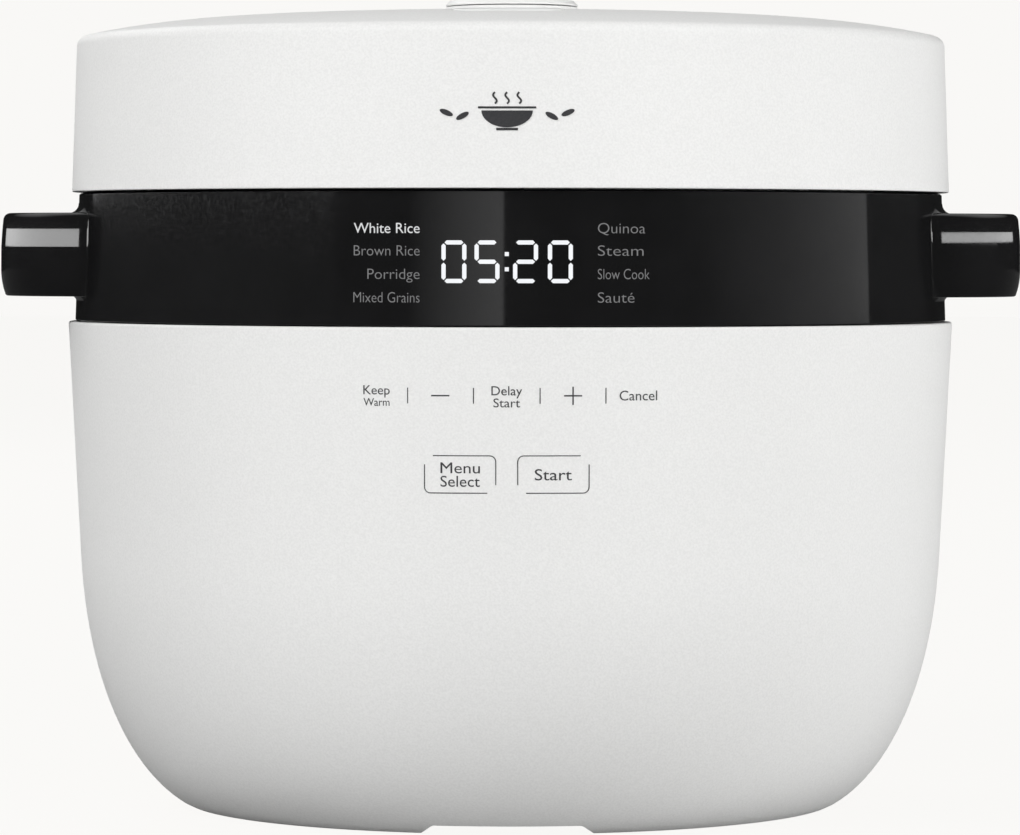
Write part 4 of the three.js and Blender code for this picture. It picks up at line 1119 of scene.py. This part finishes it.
def make_world():
    world = bpy.data.worlds.new("studio")
    scene.world = world
    world.use_nodes = True
    tree = world.node_tree
    link = tree.links.new

    def math_node(operation, a, b=None):
        node = tree.nodes.new("ShaderNodeMath")
        node.operation = operation
        for socket, value in zip(node.inputs, (a, b)):
            if isinstance(value, (int, float)):
                socket.default_value = value
            elif value is not None:
                link(value, socket)
        return node.outputs["Value"]

    def ranged(value, low, high, start=0.0, end=1.0):
        node = tree.nodes.new("ShaderNodeMapRange")
        link(value, node.inputs["Value"])
        for name, number in (("From Min", low), ("From Max", high), ("To Min", start), ("To Max", end)):
            node.inputs[name].default_value = number
        return node.outputs["Result"]

    split = tree.nodes.new("ShaderNodeSeparateXYZ")
    link(tree.nodes.new("ShaderNodeTexCoord").outputs["Generated"], split.inputs["Vector"])
    x, y, z = (split.outputs[axis] for axis in "XYZ")
    azimuth = math_node("ARCTAN2", x, math_node("MULTIPLY", y, -1.0))
    soft = radians(0.15)
    overhead = math_node("MULTIPLY", ranged(z, 0.35, 0.65), ranged(y, -0.05, 0.3))
    path = tree.nodes.new("ShaderNodeLightPath")
    first_bounce = ranged(path.outputs["Glossy Depth"], 1.2, 1.8, 1.0, 0.0)
    sideways = ranged(math_node("ABSOLUTE", azimuth), radians(95), radians(150), 1.0, 0.2)
    studio = math_node("MULTIPLY", sideways, STUDIO_GLOSS)
    total = math_node("ADD", math_node("MULTIPLY", overhead, 0.8), studio)
    lean = math_node("MULTIPLY", azimuth, 0.5)
    lift = math_node("DIVIDE", math_node("ARCSINE", z), math_node("COSINE", lean))
    for azimuths, lifts, brightness, bend in REFLECTIONS:
        near, far = (radians(v) for v in azimuths)
        low, high = (radians(v) for v in lifts)
        first, last = min(near, far), max(near, far)
        along = math_node("POWER", ranged(azimuth, near, far), bend)
        panel = ranged(along, 0.0, 1.0, *brightness)
        for edge in (
            ranged(azimuth, first - soft, first + soft),
            ranged(azimuth, last - soft, last + soft, 1.0, 0.0),
            ranged(lift, low - soft, low + soft),
            ranged(lift, high - soft, high + soft, 1.0, 0.0),
        ):
            panel = math_node("MULTIPLY", panel, edge)
        total = math_node("ADD", total, math_node("MULTIPLY", panel, first_bounce))
    glossy = tree.nodes.new("ShaderNodeMix")
    glossy.data_type = "RGBA"
    glossy.inputs["A"].default_value = (AMBIENT, AMBIENT, AMBIENT, 1)
    seen = tree.nodes.new("ShaderNodeMix")
    seen.data_type = "RGBA"
    seen.inputs["B"].default_value = (*BACKGROUND, 1)
    link(path.outputs["Is Glossy Ray"], glossy.inputs["Factor"])
    link(total, glossy.inputs["B"])
    link(glossy.outputs["Result"], seen.inputs["A"])
    link(path.outputs["Is Camera Ray"], seen.inputs["Factor"])
    link(seen.outputs["Result"], tree.nodes["Background"].inputs["Color"])


FLOOR_ALBEDO = 0.45
SHADOW_SHARE = 0.05
FLOOR_GLOW = (0.984, 0.976, 0.958)


def make_floor():
    """A pale floor that keeps the object's shadow, and is clear when it's seen from below."""
    material = bpy.data.materials.new("floor_pale")
    material.use_nodes = True
    tree = material.node_tree
    tree.nodes.clear()

    def shader(kind, color=None):
        node = tree.nodes.new(kind)
        if color:
            node.inputs["Color"].default_value = (*color, 1)
        return node.outputs[0]

    def mixed(factor, first, second):
        node = tree.nodes.new("ShaderNodeMixShader")
        for socket, source in zip(node.inputs, (factor, first, second)):
            tree.links.new(source, socket)
        return node.outputs["Shader"]

    path = tree.nodes.new("ShaderNodeLightPath")
    share = tree.nodes.new("ShaderNodeMath")
    share.operation = "MULTIPLY"
    share.inputs[1].default_value = 1 - SHADOW_SHARE
    tree.links.new(path.outputs["Is Camera Ray"], share.inputs[0])
    paper = shader("ShaderNodeBsdfDiffuse", [FLOOR_ALBEDO] * 3)
    glow = shader("ShaderNodeEmission", FLOOR_GLOW)
    dim = shader("ShaderNodeEmission", [STUDIO_GLOSS] * 3)
    seen = mixed(share.outputs["Value"], paper, glow)
    mirrored = mixed(path.outputs["Is Glossy Ray"], seen, dim)
    underneath = tree.nodes.new("ShaderNodeNewGeometry").outputs["Backfacing"]
    surface = mixed(underneath, mirrored, shader("ShaderNodeBsdfTransparent"))
    tree.links.new(surface, tree.nodes.new("ShaderNodeOutputMaterial").inputs["Surface"])
    bm = bmesh.new()
    bmesh.ops.create_grid(bm, x_segments=1, y_segments=1, size=12)
    mesh = bpy.data.meshes.new("floor")
    bm.to_mesh(mesh)
    bm.free()
    mesh.materials.append(material)
    floor = bpy.data.objects.new("floor", mesh)
    scene.collection.objects.link(floor)


# Soft lamps, as (place, width, power). They light the white shell and aren't seen in the gloss.
LAMPS = {
    "high_left": ((-1.9, -2.0, 2.1), 1.8, 86),
    "front_right": ((1.5, -2.6, 0.5), 1.6, 34),
    "low_side_right": ((2.2, -0.2, 0.35), 0.9, 22),
    "low_front_right": ((1.6, -1.3, 0.3), 0.9, 7),
    "fill_left": ((-2.4, -1.6, 1.2), 1.6, 5),
    "rear_left": ((-1.5, 2.3, 1.9), 1.8, 60),
    "rear_right": ((2.2, 1.4, 0.8), 1.4, 8),
}


def make_lights():
    for name, (where, width, power) in LAMPS.items():
        data = bpy.data.lights.new(name, "AREA")
        data.shape = "SQUARE"
        data.size = width
        data.energy = power
        lamp = bpy.data.objects.new(name, data)
        lamp.location = where
        direction = Vector((0, 0, 0.14)) - lamp.location
        lamp.rotation_euler = direction.to_track_quat("-Z", "Y").to_euler()
        lamp.visible_glossy = False
        scene.collection.objects.link(lamp)


make_camera()
make_world()
make_floor()
make_lights()
make_shell()
make_underside()
make_collar()
make_display()
make_touch_keys()
for side in (1, -1):
    make_handle(side)
for make in (make_pot, make_inlet, make_cup, make_lid, make_emblem, make_button, make_vent, make_liner):
    make()
for make in (make_inner_lid, make_latch, make_hinge, paint_kept):
    make()

scene.view_settings.view_transform = "Standard"
